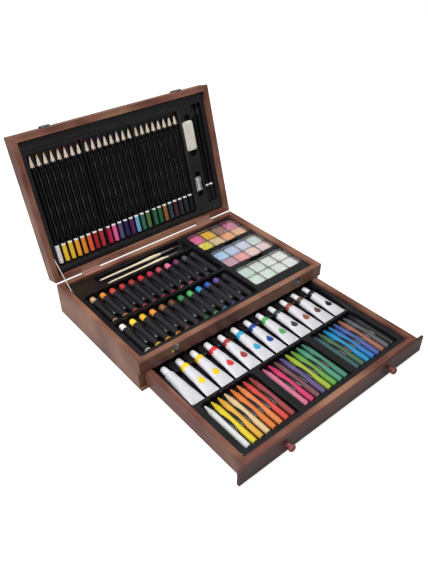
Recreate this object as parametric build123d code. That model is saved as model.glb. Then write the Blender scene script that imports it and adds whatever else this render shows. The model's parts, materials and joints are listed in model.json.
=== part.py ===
"""Wooden drawer box for pencils, crayons, paints and brushes.

A tray base with a pull-out drawer under it and a hinged lid.  All sizes are in millimetres.
The origin is the middle of the underside: +X to the right, +Y to the back, +Z up.
The lid is drawn closed and then turned open on its hinges, and the drawer is drawn in its
bay and then pulled forward, so both fit by construction when they are shut.
"""
import math
import os

from build123d import *

# ---- driving dimensions: the case ----------------------------------------------------------
case_width = 370.0
case_depth = 234.0
base_height = 54.0
lid_height = 24.0
wall = 9.5
edge_round = 1.2
lap = 4.5                    # thin end of a rail or back that covers the end of a side wall
bottom_thick = 4.0
rail_height = 22.0
floor_thick = 3.0            # board between the tray and the drawer bay
floor_lift = 1.0             # that board above the lower edge of the rail
groove = 3.0                 # depth of the grooves that hold the thin boards
groove_play = 0.1
lid_panel_thick = 3.0
lid_rebate = 5.0
lid_open_angle = 106.0
closed_gap = 0.4             # between the two rims with the lid shut

# ---- the drawer ----------------------------------------------------------------------------
drawer_out = 205.0           # how far it is drawn out here
panel_thick = 4.3
drawer_wall = 9.0
drawer_length = 217.0
drawer_side_gap = 0.9
drawer_run_gap = 0.3         # above the bottom board and below the rail
drawer_bottom_thick = 3.0
drawer_bottom_lift = 1.0
panel_recess = 0.2           # panel back from the ends of the side walls
knob_spacing = 208.0
knob_width = 11.0
knob_reach = 12.0
knob_neck = 5.6
knob_screw_width = 3.0
knob_screw_grip = 6.0
screw_head_width = 6.6
screw_head_height = 2.4

# ---- hinges --------------------------------------------------------------------------------
hinge_spacing = 241.0
hinge_width = 33.0
hinge_barrel = 4.0
hinge_pin = 1.6
hinge_setback = 1.2          # pin behind the back of the case
hinge_middle = 14.6
leaf_thick = 1.0
leaf_depth = 8.0
hinge_play = 0.2
leaf_screw_spacing = 22.0
leaf_screw_head = 3.6
leaf_screw_shank = 1.6
leaf_screw_length = 6.0

# ---- latches -------------------------------------------------------------------------------
latch_spacing = 248.0
latch_width = 12.0
latch_plate_thick = 0.8
latch_plate_height = 12.0
latch_pivot_rise = 5.0       # pivot above the rim of the closed lid
latch_pivot_proud = 2.0      # pivot in front of its plate
latch_barrel = 3.2
latch_pin = 1.3
latch_ear = 2.8
latch_play = 0.25
hasp_width = 11.0
hasp_thick = 0.8
hasp_length = 17.0
hasp_lip = 2.2
hasp_window = 4.6
hasp_window_height = 4.0
hasp_open_angle = 176.0
keeper_lug_width = 3.6
keeper_lug_root = 3.0
keeper_lug_tip = 1.6
keeper_lug_reach = 5.0
keeper_drop = 6.0            # lug below the rim of the base
keeper_height = 12.0
brad_head = 2.2
brad_length = 5.0
brad_spacing = 8.0

# ---- lid stay ------------------------------------------------------------------------------
stay_cord_width = 1.4
stay_base_from_back = 31.0
stay_lid_from_back = 36.5
stay_rim_depth = 1.7         # clips below the rims
stay_clip_length = 4.0
stay_clip_height = 2.4
stay_clip_thick = 2.2
stay_clip_brad = 1.2
stay_brad_length = 4.0

# ---- black formed inserts ------------------------------------------------------------------
sheet = 1.0                  # thickness of the formed sheet
insert_gap = 0.3             # insert to wall
insert_corner = 5.0
base_insert_drop = 4.0       # top of the insert below the rim
lid_insert_drop = 5.0
drawer_insert_drop = 3.6
pocket_corner = 2.0
rest_gap = 0.3               # contents above the pocket floor
item_gap = 0.4               # contents to the pocket wall

# ---- contents of the lid: places are from the left edge and from the hinge edge --------------
pencil_width = 6.8           # across the flats
pencil_length = 175.0
pencil_cone = 16.0
pencil_tip = 1.4
pencil_pitch = 11.5
pencil_first = 24.0
pencil_group_pitch = 94.5
pencil_from_hinge = 25.0
pencil_sink = 1.8            # pencils below the top of the insert
pencils_per_group = 8
pencil_rib_start = 65.0
pencil_rib_end = 165.0
pencil_rib_foot = 3.2
pencil_rib_head = 4.8
sketch_pencil_first = 335.5
sketch_pencil_pitch = 10.0
sketch_pencil_from_hinge = 31.0
eraser_length = 51.0
eraser_width = 22.0
eraser_height = 11.0
eraser_middle = 317.0
eraser_from_hinge = 131.0
sharpener_length = 25.0
sharpener_width = 12.0
sharpener_height = 10.0
sharpener_middle = 316.0
sharpener_from_hinge = 55.5
sharpener_bore = 8.0
sharpener_blade_thick = 0.6
sharpener_waist = 1.0
finger_width = 13.0
finger_reach = 10.0

# ---- contents of the drawer: places are from the left edge and from the panel's face ----------
tube_count = 12
tube_first = 38.0
tube_pitch = 26.5
tube_crimp_width = 23.0
tube_crimp_thick = 1.6
tube_crimp_length = 5.0
tube_shoulder_width = 15.0
tube_neck_width = 7.6
tube_neck_length = 7.0
tube_shoulder_length = 2.5
tube_cap_wide = 11.0
tube_cap_narrow = 9.6
tube_cap_length = 15.0
tube_length = 85.0
tube_from_front = 121.0
tube_ridge_width = 9.0
tube_ridge_start = 184.0
crayon_width = 8.6
crayon_length = 86.0
crayon_cone = 13.0
crayon_tip = 2.6
crayon_pitch = 11.5
crayon_first = 38.2
crayon_group_pitch = 106.3
crayon_from_front = 25.0
crayons_per_group = 8
crayon_rib_start = 50.0
crayon_rib_end = 84.0
crayon_rib_foot = 2.4
crayon_rib_head = 4.6

# ---- contents of the tray: places are from the left edge and from the front ------------------
pastel_width = 10.0
pastel_wrap_width = 10.6
pastel_length = 70.0
pastel_bare = 12.0
pastel_first = 30.4
pastel_pitch = 18.2
pastel_count = 12
pastel_rows_front = (23.0, 108.0)
pastel_rib_length = 34.0
pastel_rib_width = 6.6
palette_length = 106.0
palette_depth = 53.0
palette_height = 9.0
palette_cover_height = 2.2
palette_cover_thick = 1.0
palette_middle = 304.0
palette_rows_front = (33.0, 98.5, 164.5)
palette_columns = 4
palette_lines = 2
cake_size = 21.6
cake_pitch_x = 26.0
cake_pitch_y = 25.6
cake_height = 4.0
cake_well = 5.0
cake_corner = 2.0
palette_finger_width = 27.0
brush_places = ((66.0, 212.0), (72.0, 196.5))
brush_handle_length = 122.0
brush_ferrule_lengths = (27.0, 19.0)
brush_tuft_widths = (5.4, 4.4)
brush_tuft_lengths = (16.0, 14.0)
brush_handle_end = 3.4
brush_handle_belly = 6.8
brush_belly_from_ferrule = 14.0
ferrule_wall = 0.3
bristles_per_brush = 160
bristle_root = 0.13
bristle_end = 0.04
bristle_taper = 0.55         # how far the tuft draws in towards its point
bristle_margin = 0.05        # outermost root to the edge of the backing
bristle_dome = 0.35          # how much shorter the outermost bristles are
tuft_backing = 1.5

# ---- places worked out from the sizes above --------------------------------------------------
left_x = -case_width / 2
right_x = case_width / 2
front_y = -case_depth / 2
back_y = case_depth / 2
rail_z = base_height - rail_height
floor_z = rail_z + floor_lift
floor_top = floor_z + floor_thick
lid_rim = base_height + closed_gap
lid_top_z = lid_rim + lid_height
lid_inner_z = lid_top_z - lid_panel_thick
hinge_y = back_y + hinge_setback
hinge_z = base_height + closed_gap / 2
hinge_axis = Axis((0, hinge_y, hinge_z), (1, 0, 0))
drawer_z = bottom_thick + drawer_run_gap
drawer_top = rail_z - drawer_run_gap
panel_back_y = front_y + lap - panel_recess
drawer_half = case_width / 2 - wall - drawer_side_gap
drawer_back_y = panel_back_y + drawer_length
drawer_floor = drawer_z + drawer_bottom_lift + drawer_bottom_thick

os.makedirs("parts", exist_ok=True)


# ---- small helpers -------------------------------------------------------------------------
def block(x0, x1, y0, y1, z0, z1):
    """A box between two opposite corners."""
    low = (Align.MIN, Align.MIN, Align.MIN)
    return Pos(x0, y0, z0) * Box(x1 - x0, y1 - y0, z1 - z0, align=low)


def rounded_block(x0, x1, y0, y1, z0, z1, radius):
    """A box between two opposite corners, with its upright edges rounded."""
    outline = RectangleRounded(x1 - x0, y1 - y0, radius)
    return Pos((x0 + x1) / 2, (y0 + y1) / 2, z0) * extrude(outline, z1 - z0)


def rod(start, direction, width, length):
    """A round bar of the given width from a start point along a direction."""
    return Plane(origin=start, z_dir=direction) * Cylinder(
        width / 2, length, align=(Align.CENTER, Align.CENTER, Align.MIN)
    )


def turned(start, direction, outline):
    """A turned piece: the outline is a list of (distance along the axis, radius)."""
    points = [(radius, along) for along, radius in outline]
    points = [(0, outline[0][0])] + points + [(0, outline[-1][0])]
    profile = make_face(Polyline(points, close=True))
    shape = revolve(Plane.XZ * profile, Axis.Z)
    return Plane(origin=start, z_dir=direction) * shape


def save(name, solids):
    """Write one named piece, or a set of like pieces, to its own file."""
    flat = []
    for piece in solids:
        flat += piece.solids()
    node = Compound(children=flat, label=name)
    export_step(node, f"parts/{name}.step")


def opened(shapes):
    """Pieces of the closed lid, turned open on the hinge pins."""
    return [shape.rotate(hinge_axis, -lid_open_angle) for shape in shapes]


def pulled(shapes):
    """Pieces of the shut drawer, drawn out."""
    return [Pos(0, -drawer_out, 0) * shape for shape in shapes]


# ---- base ----------------------------------------------------------------------------------
def rounded_case(z0, z1):
    """The outer shape of the case between two heights, with its upright edges rounded."""
    return rounded_block(left_x, right_x, front_y, back_y, z0, z1, edge_round)


def leaf_mortises(z0, z1):
    """Cuts for the hinge leaves and barrels in a back wall."""
    cuts = []
    for x in (-hinge_spacing / 2, hinge_spacing / 2):
        half = hinge_width / 2 + hinge_play
        cuts.append(block(x - half, x + half, back_y - leaf_depth, back_y + 1, z0, z1))
        start = (x - half, hinge_y, hinge_z)
        cuts.append(rod(start, (1, 0, 0), hinge_barrel + 2 * hinge_play, 2 * half))
    return cuts


def leaf_screw_places():
    """Screw centres, which the two leaves of each hinge share."""
    places = []
    for x in (-hinge_spacing / 2, hinge_spacing / 2):
        for side in (-leaf_screw_spacing / 2, leaf_screw_spacing / 2):
            places.append((x + side, back_y - leaf_depth / 2))
    return places


def leaf_screws(face_z, way):
    """Countersunk screws of the leaves, from the leaf's face into the wood."""
    outline = [
        (0, leaf_screw_head / 2),
        (leaf_thick, leaf_screw_shank / 2),
        (leaf_screw_length, leaf_screw_shank / 2),
    ]
    return [turned((x, y, face_z), (0, 0, way), outline) for x, y in leaf_screw_places()]


base_screws = leaf_screws(base_height, -1)
lid_screws = leaf_screws(lid_rim, 1)
floor_groove = block(
    left_x + wall - groove, right_x - wall + groove, front_y + wall - groove,
    back_y - wall + groove, floor_z - groove_play / 2, floor_top + groove_play / 2,
)


def keeper_brads():
    """Brads of the keepers in the rail, and of the latch plates in the lid."""
    rows = {"rail": base_height - 2.0, "lid": lid_rim + latch_pivot_rise + brad_spacing - 3.0}
    sets = {}
    for name, z in rows.items():
        sets[name] = []
        for x in (-latch_spacing / 2, latch_spacing / 2):
            for side in (-brad_spacing / 2, brad_spacing / 2):
                start = (x + side, front_y - latch_plate_thick, z)
                sets[name].append(rod(start, (0, 1, 0), 1.2, brad_length))
                sets[name][-1] += rod(start, (0, -1, 0), brad_head, 0.5)
    return sets


brads = keeper_brads()


def base_walls():
    """Bottom board, two sides, back and front rail, lapped at the corners."""
    case = rounded_case(0, base_height)
    save("base_bottom", [case & block(left_x, right_x, front_y, back_y, 0, bottom_thick)])
    for name, x0, x1 in (
        ("base_side_left", left_x, left_x + wall),
        ("base_side_right", right_x - wall, right_x),
    ):
        side = block(x0, x1, front_y + lap, back_y - lap, bottom_thick, base_height)
        save(name, [(side & case) - floor_groove - stay_brad_base])
    back = block(
        left_x + wall, right_x - wall, back_y - wall, back_y, bottom_thick, base_height
    )
    back += block(left_x, right_x, back_y - lap, back_y, bottom_thick, base_height)
    back = (back & case) - floor_groove
    cuts = leaf_mortises(base_height - leaf_thick, base_height + 5) + base_screws
    save("base_back", [back - cuts])
    rail = block(left_x + wall, right_x - wall, front_y, front_y + wall, rail_z, base_height)
    rail += block(left_x, right_x, front_y, front_y + lap, rail_z, base_height)
    save("base_front_rail", [(rail & case) - floor_groove - brads["rail"]])
    floor = block(
        left_x + wall - groove + groove_play, right_x - wall + groove - groove_play,
        front_y + wall - groove + groove_play, back_y - wall + groove - groove_play,
        floor_z, floor_top,
    )
    save("tray_floor", [floor])


# ---- hinges --------------------------------------------------------------------------------
def hinge_leaf(x, upper):
    """One leaf with its barrel knuckles: the base has the outer pair, the lid the middle one."""
    half = hinge_width / 2
    middle = hinge_middle / 2
    gap = hinge_play
    z0 = lid_rim if upper else base_height - leaf_thick
    leaf = block(x - half, x + half, back_y - leaf_depth, hinge_y, z0, z0 + leaf_thick)
    bore = rod((x - half, hinge_y, hinge_z), (1, 0, 0), hinge_pin, 2 * half)
    room = hinge_barrel + 2 * hinge_play
    spans = [(-middle + gap / 2, middle - gap / 2)] if upper else [(-half, -middle), (middle, half)]
    others = [(-half, -middle), (middle, half)] if upper else [(-middle, middle)]
    for low, high in others:
        leaf -= rod((x + low - gap, hinge_y, hinge_z), (1, 0, 0), room, high - low + 2 * gap)
    for low, high in spans:
        leaf += rod((x + low, hinge_y, hinge_z), (1, 0, 0), hinge_barrel, high - low)
    if upper:
        bore = rod((x - half, hinge_y, hinge_z), (1, 0, 0), hinge_pin + 0.1, 2 * half)
    return leaf - bore


def hinges():
    """Two butt hinges let into the back walls, each with its pin and screws."""
    centres = (-hinge_spacing / 2, hinge_spacing / 2)
    half = hinge_width / 2
    lower = [hinge_leaf(x, False) - base_screws for x in centres]
    upper = [hinge_leaf(x, True) - lid_screws for x in centres]
    pins = [rod((x - half, hinge_y, hinge_z), (1, 0, 0), hinge_pin, 2 * half) for x in centres]
    save("hinge_leaves_base", lower)
    save("hinge_leaves_lid", opened(upper))
    save("hinge_pins", pins)
    save("hinge_screws_base", base_screws)
    save("hinge_screws_lid", opened(lid_screws))


# ---- lid -----------------------------------------------------------------------------------
def lid_walls():
    """Four mitred walls with a rebate for the thin top panel."""
    frame = rounded_case(lid_rim, lid_top_z)
    frame -= block(
        left_x + wall, right_x - wall, front_y + wall, back_y - wall, lid_rim - 1, lid_top_z + 1
    )
    reach = wall - lid_rebate
    panel = block(
        left_x + reach, right_x - reach, front_y + reach, back_y - reach, lid_inner_z, lid_top_z
    )
    frame -= panel
    save("lid_panel", opened([panel]))
    half = case_depth / 2
    back = Polyline([(left_x, back_y), (left_x + half, 0), (right_x - half, 0),
                     (right_x, back_y)], close=True)
    left = Polyline([(left_x, back_y), (left_x + half, 0), (left_x, front_y)], close=True)
    quarter = {
        "lid_back": make_face(back),
        "lid_front": mirror(make_face(back), Plane.XZ),
        "lid_left": make_face(left),
        "lid_right": mirror(make_face(left), Plane.YZ),
    }
    cuts = {
        "lid_back": leaf_mortises(lid_rim - 5, lid_rim + leaf_thick) + lid_screws,
        "lid_front": brads["lid"],
        "lid_left": stay_brad_lid,
        "lid_right": [],
    }
    for name, sector in quarter.items():
        wedge = Pos(0, 0, lid_rim - 1) * extrude(sector, lid_height + 2, dir=(0, 0, 1))
        piece = frame & wedge
        for cut in cuts[name]:
            piece -= cut
        save(name, opened([piece]))


# ---- lid stay ------------------------------------------------------------------------------
stay_x = left_x + wall
stay_base_y = back_y - stay_base_from_back
stay_lid_y = back_y - stay_lid_from_back
stay_base_z = base_height - stay_rim_depth
stay_lid_z = lid_rim + stay_rim_depth


def stay_clip(y, z, angle):
    """A pressed clip on a wall's inner face, turned towards the cord."""
    clip = Box(stay_clip_thick, stay_clip_length, stay_clip_height,
               align=(Align.MIN, Align.CENTER, Align.CENTER))
    clip = fillet(clip.edges().filter_by(Axis.X), 0.6)
    return Pos(stay_x, y, z) * Rot(angle, 0, 0) * clip


def stay_brad(y, z):
    """The brad that holds a clip to its wall."""
    return rod((stay_x, y, z), (-1, 0, 0), stay_clip_brad, stay_brad_length)


stay_brad_base = [stay_brad(stay_base_y, stay_base_z)]
stay_brad_lid = [stay_brad(stay_lid_y, stay_lid_z)]


def turned_point(y, z):
    """Where a point of the closed lid lies with the lid open."""
    turn = math.radians(lid_open_angle)
    dy = y - hinge_y
    dz = z - hinge_z
    new_y = hinge_y + dy * math.cos(turn) + dz * math.sin(turn)
    return new_y, hinge_z - dy * math.sin(turn) + dz * math.cos(turn)


def lid_stay():
    """A taut cord from the tray's left wall to the lid's left wall, with a clip at each end."""
    end_y, end_z = turned_point(stay_lid_y, stay_lid_z)
    slope = math.degrees(math.atan2(end_z - stay_base_z, end_y - stay_base_y))
    span = math.hypot(end_z - stay_base_z, end_y - stay_base_y)
    low = stay_clip(stay_base_y, stay_base_z, slope)
    high = stay_clip(stay_lid_y, stay_lid_z, slope + lid_open_angle)
    inset = stay_clip_length / 2
    run = Vector(0, math.cos(math.radians(slope)), math.sin(math.radians(slope)))
    start = Vector(stay_x + stay_clip_thick / 2, stay_base_y, stay_base_z) + run * inset
    length = span - 2 * inset
    cord = rod(tuple(start), tuple(run), stay_cord_width, length)
    save("stay_clip_base", [low + stay_brad_base])
    save("stay_clip_lid", opened([high + stay_brad_lid]))
    save("stay_cord", [cord])
    ends = [tuple(round(v, 2) for v in p) for p in (start, start + run * length)]
    print("stay cord from", ends[0], "to", ends[1], "length", round(length, 1))


# ---- latches -------------------------------------------------------------------------------
latch_z = lid_rim + latch_pivot_rise
latch_y = front_y - latch_plate_thick - latch_pivot_proud


def latch_profile(points, x, width):
    """A plate bent from points given as (outward from the pivot, up from the pivot)."""
    outline = make_face(Polyline(points, close=True))
    shape = extrude(outline, width / 2, both=True)
    place = Plane(origin=(x, latch_y, latch_z), x_dir=(0, -1, 0), z_dir=(-1, 0, 0))
    return place * shape


def latch_plate(x):
    """Plate on the lid with two ears that carry the pin."""
    half = latch_width / 2
    z0 = latch_z - latch_barrel / 2
    plate = block(x - half, x + half, front_y - latch_plate_thick, front_y, z0,
                  z0 + latch_plate_height)
    for side in (-half, half - latch_ear):
        start = (x + side, latch_y, latch_z)
        plate += rod(start, (1, 0, 0), latch_barrel, latch_ear)
        plate += block(x + side, x + side + latch_ear, latch_y, front_y - latch_plate_thick / 2,
                       z0, latch_z)
    return plate - rod((x - half, latch_y, latch_z), (1, 0, 0), latch_pin, latch_width)


def latch_hasp(x):
    """Swinging hasp, drawn shut: barrel, neck, window and a lip for the finger."""
    a0 = latch_barrel / 2 - hasp_thick
    a1 = latch_barrel / 2
    top = latch_barrel / 2 + latch_play
    lip = hasp_length - hasp_lip
    sheet_points = [(a0, -top), (a1, -top), (a1, -lip), (a1 + hasp_lip, -hasp_length),
                    (a1 + hasp_lip - hasp_thick, -hasp_length - hasp_thick / 2), (a0, -lip)]
    hasp = latch_profile(sheet_points, x, hasp_width)
    neck = latch_width - 2 * latch_ear - 2 * latch_play
    hasp += latch_profile([(a0, -top - 0.5), (a1, -top - 0.5), (a1, 0), (a0, 0)], x, neck)
    hasp += rod((x - neck / 2, latch_y, latch_z), (1, 0, 0), latch_barrel, neck)
    hasp -= rod((x - neck / 2, latch_y, latch_z), (1, 0, 0), latch_pin + 0.1, neck)
    middle = latch_pivot_rise + closed_gap + keeper_drop
    z = latch_z - middle
    half = hasp_window / 2
    tall = hasp_window_height / 2
    window = block(x - half, x + half, latch_y - 4, latch_y, z - tall, z + tall)
    return hasp - window


def keeper(x):
    """Keeper plate on the rail, with a tapered lug that fills the hasp's window."""
    half = latch_width / 2
    top = base_height - 0.6
    plate = block(x - half, x + half, front_y - latch_plate_thick, front_y, top - keeper_height,
                  top)
    root = front_y - latch_plate_thick / 2
    reach = front_y - latch_plate_thick - keeper_lug_reach
    z = base_height - keeper_drop
    side = Polyline([(-root, z + keeper_lug_root / 2), (-reach, z + keeper_lug_tip / 2),
                     (-reach, z - keeper_lug_tip / 2), (-root, z - keeper_lug_root / 2)],
                    close=True)
    lug = extrude(make_face(side), keeper_lug_width / 2, both=True)
    return plate + Plane(origin=(x, 0, 0), x_dir=(0, -1, 0), z_dir=(-1, 0, 0)) * lug


def latches():
    """Two hasp latches, folded open against the front of the lid."""
    centres = (-latch_spacing / 2, latch_spacing / 2)
    half = latch_width / 2
    save("latch_keepers", [keeper(x) - brads["rail"] for x in centres])
    save("latch_plates", opened([latch_plate(x) - brads["lid"] for x in centres]))
    pins = [rod((x - half, latch_y, latch_z), (1, 0, 0), latch_pin, latch_width) for x in centres]
    save("latch_pins", opened(pins))
    pivot = Axis((0, latch_y, latch_z), (1, 0, 0))
    for name, x in zip(("latch_hasp_left", "latch_hasp_right"), centres):
        save(name, opened([latch_hasp(x).rotate(pivot, -hasp_open_angle)]))
    save("keeper_brads", brads["rail"])
    save("latch_brads", opened(brads["lid"]))


# ---- formed inserts ------------------------------------------------------------------------
def pocket(x0, x1, y0, y1, depth, corner=pocket_corner):
    """A pocket of an insert, given from the insert's top face downwards."""
    return {"box": (x0, x1, y0, y1), "depth": depth, "corner": corner}


def formed_insert(x0, x1, y0, y1, height, pockets, ribs):
    """A thin formed sheet that stands on its skirt, with pockets and gripping ribs.

    It is drawn with its top face at height 0 and its foot at -height.
    """
    shell = rounded_block(x0, x1, y0, y1, -height, 0, insert_corner)
    shell -= rounded_block(
        x0 + sheet, x1 - sheet, y0 + sheet, y1 - sheet, -height, -sheet, insert_corner - sheet
    )
    walls = []
    hollows = []
    for item in pockets:
        px0, px1, py0, py1 = item["box"]
        corner = item["corner"]
        deep = item["depth"]
        walls.append(rounded_block(px0 - sheet, px1 + sheet, py0 - sheet, py1 + sheet,
                                   -min(deep + sheet, height), -sheet / 2, corner + sheet))
        hollows.append(rounded_block(px0, px1, py0, py1, -deep, 1, corner))
    shell += walls
    shell -= hollows
    return shell + ribs if ribs else shell


def gripping_rib(x, y0, y1, floor, foot, head, axis, rise):
    """A rib between two round things: narrow up to their axis, wider above it to hold them."""
    rib = block(x - foot / 2, x + foot / 2, y0, y1, floor - sheet / 2, axis + rise)
    top = block(x - head / 2, x + head / 2, y0 + 2, y1 - 2, axis + rise - 1.5, axis + rise)
    return rib + chamfer(top.edges().filter_by(Axis.Y).group_by(Axis.Z)[-1], 0.6)


pencil_floor = pencil_width / 2 + rest_gap + pencil_sink
lid_room = lid_height - lid_panel_thick - lid_insert_drop


def lid_insert():
    """The lid's insert, drawn face up and then turned over into the lid."""
    pockets = []
    ribs = []
    depth = pencil_floor + pencil_width / 2
    axis = -pencil_floor + rest_gap
    reach = pencil_pitch / 2 + 0.2
    s0 = pencil_from_hinge - 2.5
    s1 = pencil_from_hinge + pencil_length + 3.0
    for group in range(3):
        first = pencil_first + group * pencil_group_pitch
        last = first + (pencils_per_group - 1) * pencil_pitch
        pockets.append(pocket(first - reach + 1.0, last + reach - 1.0, s0, s1, depth))
        for gap in range(pencils_per_group - 1):
            x = first + (gap + 0.5) * pencil_pitch
            ribs.append(gripping_rib(x, pencil_rib_start, pencil_rib_end, -depth,
                                     pencil_rib_foot, pencil_rib_head, axis, 3.6))
    for place in range(2):
        x = sketch_pencil_first + place * sketch_pencil_pitch
        half = pencil_width / 2 + 1.0
        s = sketch_pencil_from_hinge
        pockets.append(pocket(x - half, x + half, s - 1, s + pencil_length + 1, depth))
    for middle, width, start, length, tall in (
        (eraser_middle, eraser_width, eraser_from_hinge, eraser_length, eraser_height),
        (sharpener_middle, sharpener_width, sharpener_from_hinge, sharpener_length,
         sharpener_height),
    ):
        half = width / 2 + item_gap
        end = start + length
        deep = tall + rest_gap + 0.6
        pockets.append(pocket(middle - half, middle + half, start - item_gap, end + item_gap,
                              deep, 1.0))
        for s in (start - finger_reach, end - 4.0):
            half = min(finger_width, width) / 2
            pockets.append(pocket(middle - half, middle + half, s, s + finger_reach + 4.0,
                                  deep - 1.5, 4.0))
    return formed_insert(
        wall + insert_gap, case_width - wall - insert_gap, wall + insert_gap,
        case_depth - wall - insert_gap, lid_room, pockets, ribs,
    )


def into_lid(shape):
    """Turn a face-up shape, in lid places, over into the closed lid."""
    over = shape.rotate(Axis.X, 180)
    return Pos(left_x, back_y, lid_rim + lid_insert_drop) * over


def base_insert():
    """The tray's insert: two rows of pastels, a brush trough and three palettes."""
    pockets = []
    ribs = []
    depth = pastel_wrap_width + rest_gap + 1.2
    axis = -depth + rest_gap + pastel_wrap_width / 2
    reach = pastel_pitch / 2 + 0.4
    last = pastel_first + (pastel_count - 1) * pastel_pitch
    for y in pastel_rows_front:
        pockets.append(pocket(pastel_first - reach, last + reach, y - 3, y + pastel_length + 4,
                              depth))
        middle = y + pastel_length * 0.42
        for gap in range(pastel_count - 1):
            x = pastel_first + (gap + 0.5) * pastel_pitch
            ribs.append(gripping_rib(x, middle - pastel_rib_length / 2,
                                     middle + pastel_rib_length / 2, -depth,
                                     pastel_rib_width, pastel_rib_width + 1.6, axis, 4.6))
    deep = palette_height + palette_cover_height + rest_gap + 1.0
    half = palette_length / 2 + item_gap
    for y in palette_rows_front:
        pockets.append(pocket(palette_middle - half, palette_middle + half, y - item_gap,
                              y + palette_depth + item_gap, deep))
    half = palette_finger_width / 2
    for y in palette_rows_front[1:]:
        pockets.append(pocket(palette_middle - half, palette_middle + half, y - 13.5, y + 4,
                              deep - 3.0, 4.0))
    widest = max(brush_tuft_widths + (brush_handle_belly,))
    low = min(y for x, y in brush_places) - widest
    high = max(y for x, y in brush_places) + widest
    reach = max(x + brush_handle_length + ferrule + tuft for (x, y), ferrule, tuft in
                zip(brush_places, brush_ferrule_lengths, brush_tuft_lengths))
    first = min(x for x, y in brush_places)
    pockets.append(pocket(first - 8, reach + 6, low, high, brush_handle_belly + 3.0, 6.0))
    return formed_insert(
        wall + insert_gap, case_width - wall - insert_gap, wall + insert_gap,
        case_depth - wall - insert_gap, base_height - base_insert_drop - floor_top, pockets, ribs,
    )


def into_base(shape):
    """Place a face-up shape, in tray places, into the tray."""
    return Pos(left_x, front_y, base_height - base_insert_drop) * shape


def drawer_insert():
    """The drawer's insert: a wide pocket for the tubes and three for the crayons."""
    pockets = []
    ribs = []
    half = tube_crimp_width / 2 + 1.6
    last = tube_first + (tube_count - 1) * tube_pitch
    tube_deep = tube_shoulder_width + rest_gap + 1.0
    pockets.append(pocket(tube_first - half, last + half, tube_from_front - 1.4,
                          tube_from_front + tube_length + 2.6, tube_deep))
    for gap in range(tube_count - 1):
        x = tube_first + (gap + 0.5) * tube_pitch
        side = tube_ridge_width / 2
        ribs.append(block(x - side, x + side, tube_ridge_start,
                          tube_from_front + tube_length + 3.0, -tube_deep - sheet / 2, -3.0))
    depth = crayon_width + rest_gap + 1.4
    axis = -depth + rest_gap + crayon_width / 2
    reach = crayon_pitch / 2 + 0.2
    for group in range(3):
        first = crayon_first + group * crayon_group_pitch
        last = first + (crayons_per_group - 1) * crayon_pitch
        pockets.append(pocket(first - reach, last + reach, crayon_from_front - 1.6,
                              crayon_from_front + crayon_length + 1.6, depth))
        for gap in range(crayons_per_group - 1):
            x = first + (gap + 0.5) * crayon_pitch
            ribs.append(gripping_rib(x, crayon_rib_start, crayon_rib_end, -depth,
                                     crayon_rib_foot, crayon_rib_head, axis, 4.8))
    inner = case_width / 2 - drawer_half + drawer_wall + insert_gap
    start = panel_back_y - front_y + drawer_wall + insert_gap
    return formed_insert(
        inner, case_width - inner, start, drawer_back_y - front_y - drawer_wall - insert_gap,
        drawer_top - drawer_insert_drop - drawer_floor, pockets, ribs,
    )


def into_drawer(shape):
    """Place a face-up shape, in drawer places, into the shut drawer."""
    return Pos(left_x, front_y, drawer_top - drawer_insert_drop) * shape


# ---- contents ------------------------------------------------------------------------------
def pencil():
    """A six-sided pencil along +Y from its blunt end, cut to a cone at the point."""
    section = RegularPolygon(pencil_width / 2, 6, major_radius=False)
    blank = extrude(Plane.XZ * section, -pencil_length)
    corner = pencil_width / 2 / math.cos(math.pi / 6)
    slope = (pencil_width / 2 - pencil_tip / 2) / pencil_cone
    long_cone = (corner - pencil_tip / 2) / slope
    shape = turned((0, 0, 0), (0, 1, 0), [
        (0, corner), (pencil_length - long_cone, corner), (pencil_length, pencil_tip / 2),
    ])
    return blank & shape


def lid_contents():
    """Three groups of colour pencils, two sketching pencils, eraser and sharpener."""
    one = pencil()
    axis = -pencil_floor + rest_gap
    for group, name in enumerate(("pencils_left", "pencils_middle", "pencils_right")):
        first = pencil_first + group * pencil_group_pitch
        row = [Pos(first + place * pencil_pitch, pencil_from_hinge, axis) * one
               for place in range(pencils_per_group)]
        save(name, opened([into_lid(item) for item in row]))
    row = [Pos(sketch_pencil_first + place * sketch_pencil_pitch, sketch_pencil_from_hinge, axis)
           * one for place in range(2)]
    save("sketching_pencils", opened([into_lid(item) for item in row]))
    half = eraser_width / 2
    top = -0.6
    eraser = block(eraser_middle - half, eraser_middle + half, eraser_from_hinge,
                   eraser_from_hinge + eraser_length, top - eraser_height, top)
    save("eraser", opened([into_lid(fillet(eraser.edges(), 1.4))]))
    sharpener(top)


def sharpener(top):
    """A small wedge sharpener: body with a pencil bore, blade and screw."""
    half = sharpener_width / 2
    s0 = sharpener_from_hinge
    s1 = s0 + sharpener_length
    x = sharpener_middle
    seat = top - sharpener_blade_thick - 0.8
    body = block(x - half, x + half, s0, s1, top - sharpener_height, seat)
    for side in (-1, 1):
        start = (x + side * (half + 9.0 - sharpener_waist), (s0 + s1) / 2, top - sharpener_height)
        body -= rod(start, (0, 0, 1), 18.0, sharpener_height)
    middle = top - sharpener_height / 2 - 0.6
    body -= turned((x, s0, middle), (0, 1, 0), [
        (0, sharpener_bore / 2 - 0.6), (sharpener_length - 3, 1.2),
    ])
    blade = block(x - half + 2.2, x + half - 2.2, s0 + 1.5, s1 - 1.5, seat,
                  seat + sharpener_blade_thick)
    screw = rod((x, (s0 + s1) / 2 + 4.5, seat), (0, 0, 1), 4.0, sharpener_blade_thick + 0.8)
    save("sharpener_body", opened([into_lid(body)]))
    save("sharpener_blade", opened([into_lid(blade - screw)]))
    save("sharpener_screw", opened([into_lid(screw)]))


def crayon():
    """A crayon along +Y with a tapered point."""
    return turned((0, 0, 0), (0, 1, 0), [
        (0, crayon_width / 2), (crayon_length - crayon_cone, crayon_width / 2),
        (crayon_length, crayon_tip / 2),
    ])


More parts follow.
